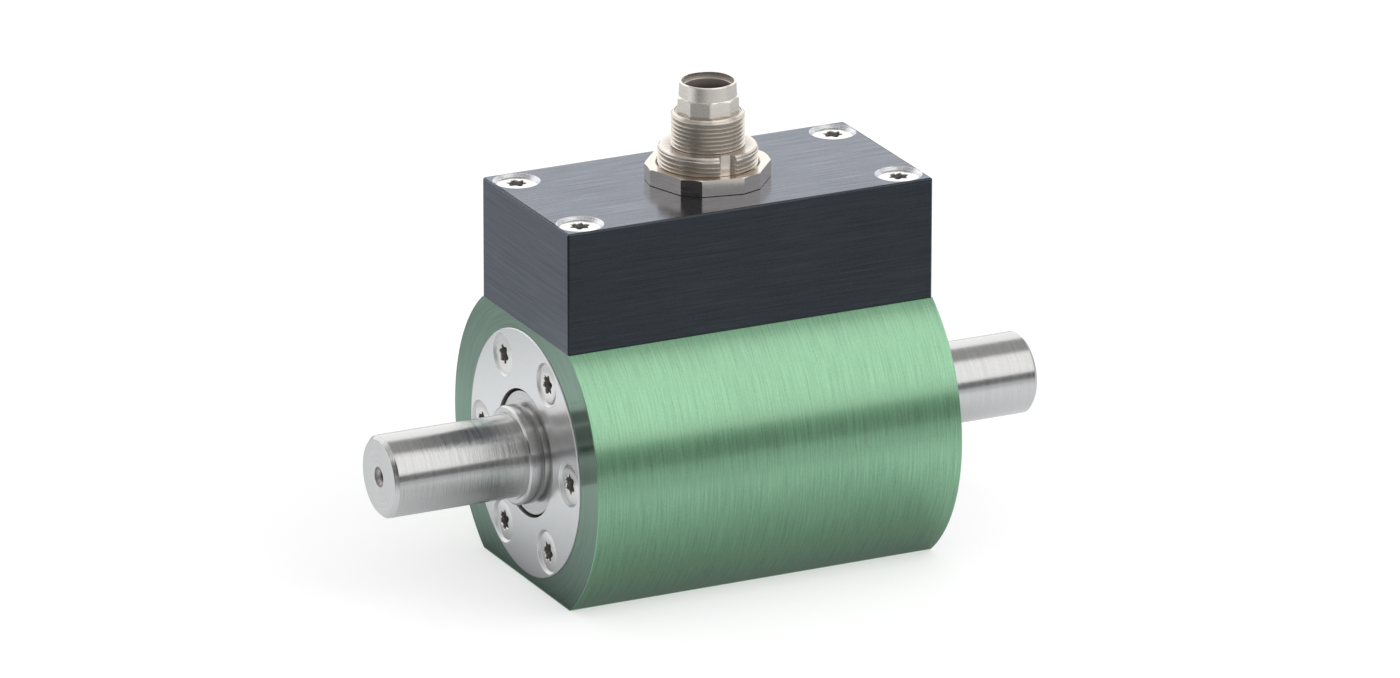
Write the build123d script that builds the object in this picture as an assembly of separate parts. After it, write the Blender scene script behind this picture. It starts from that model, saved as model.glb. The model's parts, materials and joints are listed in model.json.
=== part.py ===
from build123d import *
import math
import os

# Rotary torque sensor: a measuring shaft in two ball bearings, inside a round aluminium housing
# with an electronics box and a panel connector on top.
# Millimetres. The shaft lies along X, the test side is towards -X and Z points up.
# The origin is the centre of the flat base. Radii and lengths grow from the shaft outwards.

# How far a cut reaches past the face that it opens
overshoot = 1.0

# Shaft
shaft_radius = 7.5
test_shaft_reach = 28.8
drive_shaft_reach = 27.1
shaft_end_chamfer = 0.7
centre_hole_radius = 0.9
centre_cone_radius = 1.9
centre_hole_depth = 4.0
coil_seat_step = 1.0
shaft_collar_step = 1.5
shaft_collar_width = 3.0
torsion_step = 1.0
torsion_flat_depth = 0.9

# Ball bearings, 17 x 30 x 7
bearing_seat_step = 1.0
bearing_section = 6.5
bearing_width = 7.0
ball_share = 0.34
land_gap_share = 0.45
ball_count = 8
ball_play = 0.12
ball_face_ratio = 1.13
cage_thickness = 1.1
cage_rim = 0.3
pocket_play = 0.1
bearing_float = 0.5
bearing_shoulder = 1.0
spring_height = 1.0
spring_thickness = 0.4
spring_inner_play = 0.4
spring_outer_play = 0.1

# M4 countersunk screws with a six-lobed socket
screw_radius = 1.95
screw_head_radius = 3.75
screw_head_play = 0.05
socket_radius = 1.95
socket_waist_radius = 1.42
socket_depth = 1.8
socket_lobes = 6
thread_sides = 8
thread_play = 0.06
tip_play = 0.5

# End covers, their screws just outside the bearing
end_screw_wall = 1.25
end_screw_count = 6
end_screw_length = 10.0
end_screw_sink = 0.25
end_cover_rim = 0.65
end_cover_edge = 0.15
end_cover_thickness = 2.4
end_cover_proud = 0.25
end_cover_play = 0.05
end_cover_bore_radius = 11.7

# Housing, a round bar with two flats; the upper one is as wide as the electronics cover
housing_length = 72.0
housing_edge = 0.4
flat_wall = 1.4
flat_margin = 0.25

# Parts on the shaft between the bearings
coil_gap = 0.6
rotor_coil_share = 0.564
coil_length = 9.0
coil_bearing_gap = 4.35
board_flat_depth = 3.0
rotor_board_width = 13.0
rotor_board_thickness = 1.0
rotor_screw_radius = 0.8
rotor_screw_head_radius = 1.4
rotor_screw_head_height = 0.7
rotor_screw_depth = 2.2
rotor_chip_height = 1.1
gauge_length = 7.0
gauge_width = 5.0
gauge_thickness = 0.2

# Chips on a rotor board: place and length as shares of the space beside a shaft collar, and width
rotor_chip_table = ((-0.52, 0.48, 4.4), (0.14, 0.38, 6.0), (0.67, 0.29, 2.4))

# Sealing collars, pressed on the shaft and turning inside the end covers
collar_reach = 3.3
collar_seat_step = 0.3
collar_seat_lead = 0.2
collar_hub_wall = 1.2
collar_hub_length = 3.0
collar_hub_chamfer = 0.35
collar_neck_wall = 0.4
collar_nose_wall = 1.3
collar_disc_sink = 0.55
collar_disc_thickness = 1.2
collar_running_gap = 0.5

# Electronics cover, one block hollowed from below
cover_width = 35.5
cover_height = 22.5
cover_wall = 3.0
cover_roof = 3.5
cover_edge = 0.3
cover_screw_inset_x = 4.55
cover_screw_inset_y = 4.65
cover_post_x = 6.3
cover_post_y = 6.5
cover_screw_sink = 0.4
cover_screw_grip = 5.0
seal_inset = 0.6
seal_width = 1.2
seal_depth = 1.0
seal_play = 0.05

# Main board, carried by ledges at both ends of the cover
board_drop = 8.0
board_thickness = 1.6
board_play = 0.4
ledge_length = 4.5
board_screw_radius = 1.2
board_screw_head_radius = 2.2
board_screw_head_height = 1.3
board_screw_grip = 4.0

# Chips on the main board: place as shares of the board's half length and half width,
# then length, width and height
chip_table_above = (
    (-0.77, 0.37, 8.0, 8.0, 1.8),
    (-0.75, -0.44, 6.0, 4.0, 3.2),
    (0.75, 0.31, 7.0, 9.0, 2.0),
    (0.77, -0.47, 5.0, 5.0, 4.2),
)
chip_table_below = (
    (0.45, 0.0, 10.0, 14.0, 1.9),
    (-0.07, 0.44, 6.0, 6.0, 1.4),
    (-0.07, -0.44, 6.0, 6.0, 2.6),
    (0.9, 0.0, 4.0, 8.0, 3.0),
)

# Wires from the stator coil to the board
lead_hole_radius = 2.5
lead_radius = 0.45
lead_pitch = 1.3
lead_count = 3
lead_sides = 6

# Panel connector
connector_thread_radius = 9.0
connector_hole_play = 0.15
connector_thread_top = 6.95
connector_upper_step = 0.65
connector_upper_length = 5.65
connector_edge = 0.3
connector_bore_radius = 6.0
connector_lip_step = 0.6
connector_lip_height = 1.0
connector_flange_step = 2.0
connector_flange_thickness = 2.0
connector_tail = 1.4
key_slot_width = 3.0
key_slot_depth = 1.0
key_slot_angle = -92.0
connector_seal_inset = 0.7
connector_seal_width = 0.8
nut_corner_step = 2.35
nut_height = 3.1
nut_corner_angle = 10.0
nut_turn = -11.0
nut_chamfer = 0.45
nut_foot_chamfer = 0.2
nut_play = 0.05
sleeve_play = 0.05
sleeve_root_length = 8.0
sleeve_wall = 1.8
sleeve_ring_step = 0.4
sleeve_ring_height = 2.55
sleeve_ring_flats = 9
sleeve_ring_turn = 249.0
sleeve_cone_height = 0.45
sleeve_rim_step = 0.78
sleeve_rim_height = 2.65
sleeve_rim_taper = 0.14
sleeve_rim_edge = 0.15
sleeve_mouth_step = 0.5
sleeve_mouth_depth = 1.0
insert_face_rise = 4.4
pin_radius = 0.45
pin_rise = 3.6
pin_sides = 8
inner_pin_count = 3
inner_pin_circle_radius = 1.2
outer_pin_count = 8
outer_pin_circle_radius = 2.9

# Tapped holes in the base, four M4
base_hole_radius = 1.65
base_hole_depth = 8.0
base_hole_x = 20.0
base_hole_y = 12.0

# Sizes that follow from the ones above, from the shaft outwards
collar_seat_radius = shaft_radius + collar_seat_step
bearing_bore_radius = shaft_radius + bearing_seat_step
coil_seat_radius = bearing_bore_radius + coil_seat_step
shaft_collar_radius = coil_seat_radius + shaft_collar_step
torsion_radius = shaft_radius - torsion_step
torsion_half_flat = torsion_radius - torsion_flat_depth
board_flat_height = shaft_collar_radius - board_flat_depth
bearing_outer_radius = bearing_bore_radius + bearing_section
ball_radius = ball_share * bearing_section
groove_radius = ball_radius + ball_play
pitch_radius = (bearing_bore_radius + bearing_outer_radius) / 2
outer_land_radius = pitch_radius + land_gap_share * bearing_section / 2
inner_land_radius = pitch_radius - land_gap_share * bearing_section / 2
bore_radius = bearing_outer_radius - bearing_shoulder
rotor_coil_radius = coil_seat_radius + rotor_coil_share * (bore_radius - coil_seat_radius - coil_gap)
end_screw_circle_radius = bearing_outer_radius + end_screw_wall + screw_radius
end_cover_radius = end_screw_circle_radius + screw_head_radius + end_cover_rim

# Heights
axis_height = end_cover_radius + flat_wall
flat_z = 2 * axis_height
housing_radius = math.hypot(axis_height, cover_width / 2 + flat_margin)
cover_top = flat_z + cover_height
roof_bottom = cover_top - cover_roof
board_top = roof_bottom - board_drop
board_bottom = board_top - board_thickness
shell_bottom = roof_bottom - connector_flange_thickness - connector_tail
lower_thread_top = cover_top + connector_thread_top
shell_top = lower_thread_top + connector_upper_length
sleeve_bottom = shell_top - sleeve_root_length
sleeve_rim_bottom = shell_top + sleeve_ring_height + sleeve_cone_height
sleeve_top = sleeve_rim_bottom + sleeve_rim_height
insert_face = sleeve_bottom + insert_face_rise

# Lengths along the shaft
half_length = housing_length / 2
cover_face = half_length + end_cover_proud
cover_inner = cover_face - end_cover_thickness
test_bearing_face = -cover_inner
drive_bearing_face = cover_inner - spring_height
coil_start = cover_inner - bearing_width - coil_bearing_gap
collar_end = coil_start - coil_length
collar_start = collar_end - shaft_collar_width
coil_middle = -(collar_end + coil_length / 2)
rotor_screw_x = collar_start + shaft_collar_width / 2

# Places in the electronics cover
cover_screw_x = half_length - cover_screw_inset_x
cover_screw_y = cover_width / 2 - cover_screw_inset_y
board_screw_x = half_length - cover_wall - ledge_length / 2
cavity_half_length = half_length - cover_wall
cavity_half_width = cover_width / 2 - cover_wall
post_start_x = cavity_half_length - cover_post_x
post_start_y = cavity_half_width - cover_post_y

# Round sizes of the connector
connector_upper_radius = connector_bore_radius + connector_upper_step
connector_lip_radius = connector_bore_radius - connector_lip_step
connector_flange_radius = connector_thread_radius + connector_flange_step
connector_seal_outer = connector_flange_radius - connector_seal_inset
connector_seal_inner = connector_seal_outer - connector_seal_width
nut_corner_radius = connector_thread_radius + nut_corner_step
sleeve_outer_radius = connector_bore_radius - sleeve_play
sleeve_ring_radius = connector_bore_radius - sleeve_ring_step
sleeve_rim_radius = connector_bore_radius - sleeve_rim_step
sleeve_bore_radius = connector_bore_radius - sleeve_wall
sleeve_mouth_radius = sleeve_bore_radius + sleeve_mouth_step


def turned_x(points):
    """A profile of (x, radius) turned about the shaft's axis."""
    profile = make_face(Polyline(*points, close=True))
    return Pos(0, 0, axis_height) * revolve(profile, Axis.X)


def turned_z(points):
    """A profile of (radius, z) turned about the vertical axis."""
    profile = make_face(Polyline(*points, close=True))
    return Rot(90, 0, 0) * revolve(profile, Axis.Y)


def ring_x(x_from, x_to, inner, outer):
    """A plain ring on the shaft's axis."""
    return turned_x([(x_from, inner), (x_to, inner), (x_to, outer), (x_from, outer)])


def ring_z(z_from, z_to, inner, outer):
    """A plain ring on the vertical axis."""
    return turned_z([(inner, z_from), (outer, z_from), (outer, z_to), (inner, z_to)])


def rod_z(radius, z_from, z_to, x=0.0, y=0.0):
    """An upright round rod or hole."""
    return Pos(x, y, (z_from + z_to) / 2) * Cylinder(radius, z_to - z_from)


def few_sided_rod(radius, z_from, z_to, sides, x=0.0, y=0.0):
    """An upright rod with a few flat sides, for small pieces that repeat."""
    section = RegularPolygon(radius, sides)
    return Pos(x, y, z_from) * extrude(section, z_to - z_from)


def block(x_range, y_range, z_range):
    """A box given by its limits along each axis."""
    size = [high - low for low, high in (x_range, y_range, z_range)]
    middle = [(high + low) / 2 for low, high in (x_range, y_range, z_range)]
    return Pos(*middle) * Box(*size)


def write(name, *solids):
    """One file for each piece, or for a group of like pieces."""
    shape = solids[0] if len(solids) == 1 else Compound(children=list(solids))
    export_step(shape, os.path.join("parts", name + ".step"))


def socket_star():
    """Outline of the six-lobed driver socket, as a star with twelve points."""
    points = []
    for i in range(2 * socket_lobes):
        radius = socket_waist_radius if i % 2 else socket_radius
        angle = math.pi * i / socket_lobes
        points.append((radius * math.cos(angle), radius * math.sin(angle)))
    return make_face(Polyline(*points, close=True))


def countersunk_screw(length):
    """A screw that points down, with the top of its head at z = 0."""
    cone_end = screw_head_radius - screw_radius
    head = turned_z([(0, 0), (0, -cone_end), (screw_radius, -cone_end), (screw_head_radius, 0)])
    shank = few_sided_rod(screw_radius, -length, -cone_end, thread_sides)
    socket = Pos(0, 0, -socket_depth) * extrude(socket_star(), socket_depth + overshoot)
    return head + shank - socket


def countersunk_hole(depth, head_sink):
    """The hole for that screw, from above the face down to a depth under the face."""
    hole_radius = screw_radius + screw_head_play + thread_play
    rim_radius = screw_head_radius + head_sink + screw_head_play
    cone_end = rim_radius - hole_radius
    return turned_z(
        [
            (0, overshoot),
            (rim_radius, overshoot),
            (rim_radius, 0),
            (hole_radius, -cone_end),
            (hole_radius, -depth),
            (0, -depth),
        ]
    )


def tapped_hole(face, depth):
    """A blind hole for a screw's thread, going down from a face at that height."""
    return few_sided_rod(screw_radius + thread_play, face - depth, face + overshoot, thread_sides)


def end_screw_places(side):
    """Places of one end cover's screws, on the cover's face, with their tops pointing outwards."""
    places = []
    for i in range(end_screw_count):
        angle = 2 * math.pi * i / end_screw_count
        y = end_screw_circle_radius * math.cos(angle)
        z = axis_height + end_screw_circle_radius * math.sin(angle)
        places.append(Pos(side * cover_face, y, z) * Rot(0, 90 * side, 0))
    return places


def cover_screw_places():
    """Places of the electronics cover's four screws, on its top face."""
    corners = [(side_x * cover_screw_x, side_y * cover_screw_y) for side_x in (-1, 1) for side_y in (-1, 1)]
    return [Pos(x, y, cover_top) for x, y in corners]


def housing():
    """The round bar with its flats, bore, bearing seats, end recesses and holes."""
    edge = housing_edge
    body = turned_x(
        [
            (-half_length, 0),
            (-half_length, housing_radius - edge),
            (-half_length + edge, housing_radius),
            (half_length - edge, housing_radius),
            (half_length, housing_radius - edge),
            (half_length, 0),
        ]
    )
    reach = 2 * housing_radius
    body &= block((-reach, reach), (-reach, reach), (0, flat_z))
    test_shoulder = test_bearing_face + bearing_width
    drive_shoulder = drive_bearing_face - bearing_width - bearing_float
    recess = end_cover_radius + end_cover_play
    over = half_length + overshoot
    body -= turned_x(
        [
            (-over, 0),
            (-over, recess),
            (-cover_inner, recess),
            (-cover_inner, bearing_outer_radius),
            (test_shoulder, bearing_outer_radius),
            (test_shoulder, bore_radius),
            (drive_shoulder, bore_radius),
            (drive_shoulder, bearing_outer_radius),
            (cover_inner, bearing_outer_radius),
            (cover_inner, recess),
            (over, recess),
            (over, 0),
        ]
    )
    end_hole_depth = end_screw_sink + end_screw_length + tip_play - end_cover_thickness
    for side in (-1, 1):
        for place in end_screw_places(side):
            body -= place * tapped_hole(-end_cover_thickness, end_hole_depth)
    for place in cover_screw_places():
        body -= place * tapped_hole(-cover_height, cover_screw_grip + tip_play)
    for x in (-base_hole_x, base_hole_x):
        for y in (-base_hole_y, base_hole_y):
            body -= rod_z(base_hole_radius, -overshoot, base_hole_depth, x, y)
    body -= rod_z(lead_hole_radius, axis_height, flat_z + overshoot, coil_middle, 0)
    return body


def end_cover(side):
    """The bright disc that closes one end and holds the bearing."""
    edge = end_cover_edge
    profile = [
        (cover_inner, end_cover_bore_radius),
        (cover_face, end_cover_bore_radius),
        (cover_face, end_cover_radius - edge),
        (cover_face - edge, end_cover_radius),
        (cover_inner, end_cover_radius),
    ]
    disc = turned_x([(side * x, radius) for x, radius in profile])
    for place in end_screw_places(side):
        disc -= place * countersunk_hole(end_cover_thickness + overshoot, end_screw_sink)
    return disc


def end_screws(side):
    """The screws of one end cover, their heads a little below its face."""
    screw = Pos(0, 0, -end_screw_sink) * countersunk_screw(end_screw_length)
    return [place * screw for place in end_screw_places(side)]


def bearing_outer_ring(face, inward):
    """Outer ring with its running groove; face is the bearing's outer side, inward points to the middle."""
    middle = face + inward * bearing_width / 2
    half = bearing_width / 2
    flat = groove_radius * math.tan(math.pi / 8)
    wide = groove_radius * math.sqrt(2) - (outer_land_radius - pitch_radius)
    return turned_x(
        [
            (middle - half, bearing_outer_radius),
            (middle - half, outer_land_radius),
            (middle - wide, outer_land_radius),
            (middle - flat, pitch_radius + groove_radius),
            (middle + flat, pitch_radius + groove_radius),
            (middle + wide, outer_land_radius),
            (middle + half, outer_land_radius),
            (middle + half, bearing_outer_radius),
        ]
    )


def bearing_inner_ring(face, inward):
    """Inner ring with its running groove."""
    middle = face + inward * bearing_width / 2
    half = bearing_width / 2
    flat = groove_radius * math.tan(math.pi / 8)
    wide = groove_radius * math.sqrt(2) - (outer_land_radius - pitch_radius)
    return turned_x(
        [
            (middle - half, bearing_bore_radius),
            (middle - half, inner_land_radius),
            (middle - wide, inner_land_radius),
            (middle - flat, pitch_radius - groove_radius),
            (middle + flat, pitch_radius - groove_radius),
            (middle + wide, inner_land_radius),
            (middle + half, inner_land_radius),
            (middle + half, bearing_bore_radius),
        ]
    )


def few_faced_ball():
    """A ball with 26 flat faces inside its true sphere, one towards each neighbour of a cube."""
    slab_height = 2 * ball_radius / ball_face_ratio
    ball = Box(2 * ball_radius, 2 * ball_radius, 2 * ball_radius)
    steps = (-1, 0, 1)
    directions = [(x, y, z) for x in steps for y in steps for z in steps if (x, y, z) > (0, 0, 0)]
    for direction in directions:
        plane = Plane(origin=(0, 0, 0), z_dir=direction)
        ball &= plane * Box(6 * ball_radius, 6 * ball_radius, slab_height)
    return ball


def bearing_balls(face, inward):
    """The balls of one bearing."""
    middle = face + inward * bearing_width / 2
    ball = few_faced_ball()
    balls = []
    for i in range(ball_count):
        turn = Pos(middle, 0, axis_height) * Rot(360 * i / ball_count, 0, 0)
        balls.append(turn * Pos(0, pitch_radius, 0) * ball)
    return balls


def bearing_cage(face, inward):
    """The ring that keeps the balls apart, with one window for each."""
    middle = face + inward * bearing_width / 2
    window = 2 * (ball_radius + pocket_play)
    half = window / 2 + cage_rim
    inner = pitch_radius - cage_thickness / 2
    cage = ring_x(middle - half, middle + half, inner, inner + cage_thickness)
    for i in range(ball_count):
        turn = Pos(middle, 0, axis_height) * Rot(360 * i / ball_count, 0, 0)
        cage -= turn * Pos(0, pitch_radius, 0) * Box(window, 3 * cage_thickness, window)
    return cage


def preload_spring():
    """Conical spring washer between the drive side's bearing and end cover."""
    inner = end_cover_bore_radius + spring_inner_play
    outer = bearing_outer_radius - spring_outer_play
    low, high = drive_bearing_face, cover_inner
    return turned_x(
        [
            (low, outer),
            (high - spring_thickness, inner),
            (high, inner),
            (low + spring_thickness, outer),
        ]
    )


def shaft():
    """The measuring shaft: two drive ends, two bearing seats and a thin square part in the middle."""
    test_end = -half_length - test_shaft_reach
    drive_end = half_length + drive_shaft_reach
    chamfer = shaft_end_chamfer
    collar_seat_end = half_length + collar_reach + collar_seat_lead
    body = turned_x(
        [
            (test_end, 0),
            (test_end, shaft_radius - chamfer),
            (test_end + chamfer, shaft_radius),
            (-collar_seat_end, shaft_radius),
            (-collar_seat_end, collar_seat_radius),
            (test_bearing_face, collar_seat_radius),
            (test_bearing_face, bearing_bore_radius),
            (test_bearing_face + bearing_width, bearing_bore_radius),
            (test_bearing_face + bearing_width, coil_seat_radius),
            (-collar_end, coil_seat_radius),
            (-collar_end, shaft_collar_radius),
            (-collar_start, shaft_collar_radius),
            (-collar_start, torsion_radius),
            (collar_start, torsion_radius),
            (collar_start, shaft_collar_radius),
            (collar_end, shaft_collar_radius),
            (collar_end, coil_seat_radius),
            (drive_bearing_face - bearing_width, coil_seat_radius),
            (drive_bearing_face - bearing_width, bearing_bore_radius),
            (drive_bearing_face, bearing_bore_radius),
            (drive_bearing_face, collar_seat_radius),
            (collar_seat_end, collar_seat_radius),
            (collar_seat_end, shaft_radius),
            (drive_end - chamfer, shaft_radius),
            (drive_end, shaft_radius - chamfer),
            (drive_end, 0),
        ]
    )
    flat = torsion_half_flat
    reach = 2 * shaft_collar_radius
    zone = (-collar_start, collar_start)
    for quarter in range(4):
        cut = Pos(0, 0, axis_height) * Rot(90 * quarter, 0, 0)
        body -= cut * block(zone, (-reach, reach), (flat, reach))
    for half in range(2):
        cut = Pos(0, 0, axis_height) * Rot(180 * half, 0, 0)
        body -= cut * block((-collar_end, collar_end), (-reach, reach), (board_flat_height, reach))
        for x in (-rotor_screw_x, rotor_screw_x):
            hole = few_sided_rod(
                rotor_screw_radius + thread_play,
                board_flat_height - rotor_screw_depth - tip_play,
                board_flat_height + overshoot,
                thread_sides,
                x,
            )
            body -= cut * hole
    for end, inward in ((test_end, 1), (drive_end, -1)):
        cone = centre_cone_radius - centre_hole_radius
        body -= turned_x(
            [
                (end - inward, 0),
                (end - inward, centre_cone_radius),
                (end, centre_cone_radius),
                (end + inward * cone, centre_hole_radius),
                (end + inward * centre_hole_depth, centre_hole_radius),
                (end + inward * centre_hole_depth, 0),
            ]
        )
    return body


def sealing_collar(side, bearing_face):
    """Collar pressed on the shaft: a hub outside, a disc in the end cover and a nose on the bearing."""
    outer = half_length + collar_reach
    hub_end = outer - collar_hub_length
    hub_radius = collar_seat_radius + collar_hub_wall
    neck_radius = collar_seat_radius + collar_neck_wall
    nose_radius = bearing_bore_radius + collar_nose_wall
    disc_start = cover_face - collar_disc_sink
    disc_end = disc_start - collar_disc_thickness
    disc_radius = end_cover_bore_radius - collar_running_gap
    nose_end = abs(bearing_face)
    chamfer = collar_hub_chamfer
    profile = [
        (outer, collar_seat_radius),
        (outer, hub_radius - chamfer),
        (outer - chamfer, hub_radius),
        (hub_end + chamfer, hub_radius),
        (hub_end, hub_radius - chamfer),
        (hub_end, neck_radius),
        (disc_start, neck_radius),
        (disc_start, disc_radius),
        (disc_end, disc_radius),
        (disc_end, nose_radius),
        (nose_end, nose_radius),
        (nose_end, collar_seat_radius),
    ]
    return turned_x([(side * x, radius) for x, radius in profile])


def rotor_coil():
    """Coil that turns with the shaft and takes power across the gap."""
    return ring_x(-collar_end - coil_length, -collar_end, coil_seat_radius, rotor_coil_radius)


def stator_coil():
    """Coil that stands still in the housing's bore."""
    return ring_x(-collar_end - coil_length, -collar_end, rotor_coil_radius + coil_gap, bore_radius)


def rotor_pair(make):
    """The same piece on the upper and lower side of the shaft."""
    return [Pos(0, 0, axis_height) * Rot(180 * half, 0, 0) * make() for half in range(2)]


def rotor_board():
    """A narrow board that lies on the flats of both shaft collars."""
    top = board_flat_height + rotor_board_thickness
    half_width = rotor_board_width / 2
    board = block((-collar_end, collar_end), (-half_width, half_width), (board_flat_height, top))
    for x in (-rotor_screw_x, rotor_screw_x):
        hole_radius = rotor_screw_radius + thread_play
        board -= few_sided_rod(hole_radius, board_flat_height, top, thread_sides, x)
    return board


def rotor_board_screws():
    """The screws of both rotor boards."""
    top = board_flat_height + rotor_board_thickness
    screws = []
    for half in range(2):
        turn = Pos(0, 0, axis_height) * Rot(180 * half, 0, 0)
        for x in (-rotor_screw_x, rotor_screw_x):
            low = board_flat_height - rotor_screw_depth
            shank = few_sided_rod(rotor_screw_radius, low, top, thread_sides, x)
            head = rod_z(rotor_screw_head_radius, top, top + rotor_screw_head_height, x)
            screws.append(turn * (head + shank))
    return screws


def rotor_chips():
    """Components on both rotor boards."""
    top = board_flat_height + rotor_board_thickness
    chips = []
    for place, share, width in rotor_chip_table:
        middle = place * collar_start
        half = share * collar_start / 2
        x_range = (middle - half, middle + half)
        for half_turn in range(2):
            turn = Pos(0, 0, axis_height) * Rot(180 * half_turn, 0, 0)
            chips.append(turn * block(x_range, (-width / 2, width / 2), (top, top + rotor_chip_height)))
    return chips


def strain_gauges():
    """One foil gauge on each flat of the square part of the shaft."""
    gauge = block(
        (-gauge_length / 2, gauge_length / 2),
        (-gauge_width / 2, gauge_width / 2),
        (torsion_half_flat, torsion_half_flat + gauge_thickness),
    )
    return [Pos(0, 0, axis_height) * Rot(90 * quarter, 0, 0) * gauge for quarter in range(4)]


def cavity_outline(grow, z_from, z_to, half_reach=cavity_half_length):
    """The cover's inner space: a cross that leaves a solid post at each corner."""
    x_long = half_reach + grow
    y_long = cavity_half_width + grow
    x_short = post_start_x + grow
    y_short = post_start_y + grow
    along = block((-x_long, x_long), (-y_short, y_short), (z_from, z_to))
    across = block((-x_short, x_short), (-y_long, y_long), (z_from, z_to))
    return along + across


def electronics_cover():
    """The black block over the electronics, with its seal groove and screw holes."""
    half_width = cover_width / 2
    body = block((-half_length, half_length), (-half_width, half_width), (flat_z, cover_top))
    body = chamfer(body.edges().filter_by(Axis.Z) + body.faces().sort_by(Axis.Z)[-1].edges(), cover_edge)
    body -= cavity_outline(0, flat_z - overshoot, board_top)
    body -= cavity_outline(0, board_top, roof_bottom, cavity_half_length - ledge_length)
    groove = cavity_outline(seal_inset + seal_width, flat_z, flat_z + seal_depth)
    body -= groove - cavity_outline(seal_inset, flat_z, flat_z + seal_depth)
    for place in cover_screw_places():
        body -= place * countersunk_hole(cover_height + overshoot, cover_screw_sink)
    hole_radius = connector_thread_radius + connector_hole_play
    body -= rod_z(hole_radius, roof_bottom - overshoot, cover_top + overshoot)
    for x in (-board_screw_x, board_screw_x):
        hole_top = board_top + board_screw_grip + tip_play
        hole_radius = board_screw_radius + thread_play
        body -= few_sided_rod(hole_radius, board_top - overshoot, hole_top, thread_sides, x)
    return body


def cover_seal():
    """Rubber seal in the groove, pressed on the housing's flat."""
    outer = cavity_outline(seal_inset + seal_width - seal_play, flat_z, flat_z + seal_depth)
    return outer - cavity_outline(seal_inset + seal_play, flat_z, flat_z + seal_depth)


def cover_screws():
    """The long screws that hold the cover on the housing."""
    length = cover_height - cover_screw_sink + cover_screw_grip
    screw = Pos(0, 0, -cover_screw_sink) * countersunk_screw(length)
    return [place * screw for place in cover_screw_places()]


def main_board():
    """The circuit board, a cross that fits the cover's inner space."""
    board = cavity_outline(-board_play, board_bottom, board_top)
    for x in (-board_screw_x, board_screw_x):
        hole_radius = board_screw_radius + thread_play
        board -= few_sided_rod(hole_radius, board_bottom - overshoot, board_top + overshoot, thread_sides, x)
    return board


def board_screws():
    """The two screws that hold the board on the ledges, from below."""
    screws = []
    for x in (-board_screw_x, board_screw_x):
        low = board_bottom - board_screw_head_height
        head = rod_z(board_screw_head_radius, low, board_bottom, x)
        tip = board_top + board_screw_grip
        shank = few_sided_rod(board_screw_radius, board_bottom, tip, thread_sides, x)
        screws.append(head + shank)
    return screws


def board_components():
    """Chips on both sides of the main board, beside the connector and the wires."""
    sides = [(chip, board_top, 1) for chip in chip_table_above]
    sides += [(chip, board_bottom, -1) for chip in chip_table_below]
    pieces = []
    for (share_x, share_y, length, width, height), face, up in sides:
        x = share_x * post_start_x
        y = share_y * cavity_half_width
        z_range = sorted((face, face + up * height))
        pieces.append(block((x - length / 2, x + length / 2), (y - width / 2, y + width / 2), z_range))
    return pieces


def stator_leads():
    """Straight wires from the stator coil up through the housing to the board."""
    leads = []
    for i in range(lead_count):
        y = (i - (lead_count - 1) / 2) * lead_pitch
        low = axis_height + bore_radius
        leads.append(few_sided_rod(lead_radius, low, board_bottom, lead_sides, coil_middle, y))
    return leads


def connector_shell():
    """The nickel-plated shell: a flange under the roof and two threaded steps above it."""
    flange_bottom = roof_bottom - connector_flange_thickness
    edge = connector_edge
    shell = turned_z(
        [
            (connector_lip_radius, shell_bottom),
            (connector_thread_radius, shell_bottom),
            (connector_thread_radius, flange_bottom),
            (connector_flange_radius, flange_bottom),
            (connector_flange_radius, roof_bottom),
            (connector_thread_radius, roof_bottom),
            (connector_thread_radius, lower_thread_top - edge),
            (connector_thread_radius - edge, lower_thread_top),
            (connector_upper_radius, lower_thread_top),
            (connector_upper_radius, shell_top - edge),
            (connector_upper_radius - edge, shell_top),
            (connector_bore_radius, shell_top),
            (connector_bore_radius, shell_bottom + connector_lip_height),
            (connector_lip_radius, shell_bottom + connector_lip_height),
        ]
    )
    slot_inner = connector_thread_radius - key_slot_depth
    slot = block(
        (slot_inner, connector_thread_radius + overshoot),
        (-key_slot_width / 2, key_slot_width / 2),
        (cover_top, lower_thread_top + overshoot),
    )
    shell -= Rot(0, 0, key_slot_angle) * slot
    return shell - connector_seal()


def connector_seal():
    """Rubber ring in the flange's groove, under the roof."""
    low = roof_bottom - connector_seal_width
    return ring_z(low, roof_bottom, connector_seal_inner, connector_seal_outer)


def connector_nut():
    """Flat hexagon nut with cut corners."""
    points = []
    for corner in range(6):
        for step in (-nut_corner_angle, nut_corner_angle):
            angle = math.radians(nut_turn + 60 * corner + step)
            points.append((nut_corner_radius * math.cos(angle), nut_corner_radius * math.sin(angle)))
    outline = make_face(Polyline(*points, close=True))
    nut = Pos(0, 0, cover_top) * extrude(outline, nut_height)
    top = cover_top + nut_height
    nut &= turned_z(
        [
            (0, cover_top),
            (nut_corner_radius - nut_foot_chamfer, cover_top),
            (nut_corner_radius, cover_top + nut_foot_chamfer),
            (nut_corner_radius, top - nut_chamfer),
            (nut_corner_radius - nut_chamfer, top),
            (0, top),
        ]
    )
    return nut - rod_z(connector_thread_radius + nut_play, cover_top - overshoot, top + overshoot)


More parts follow.
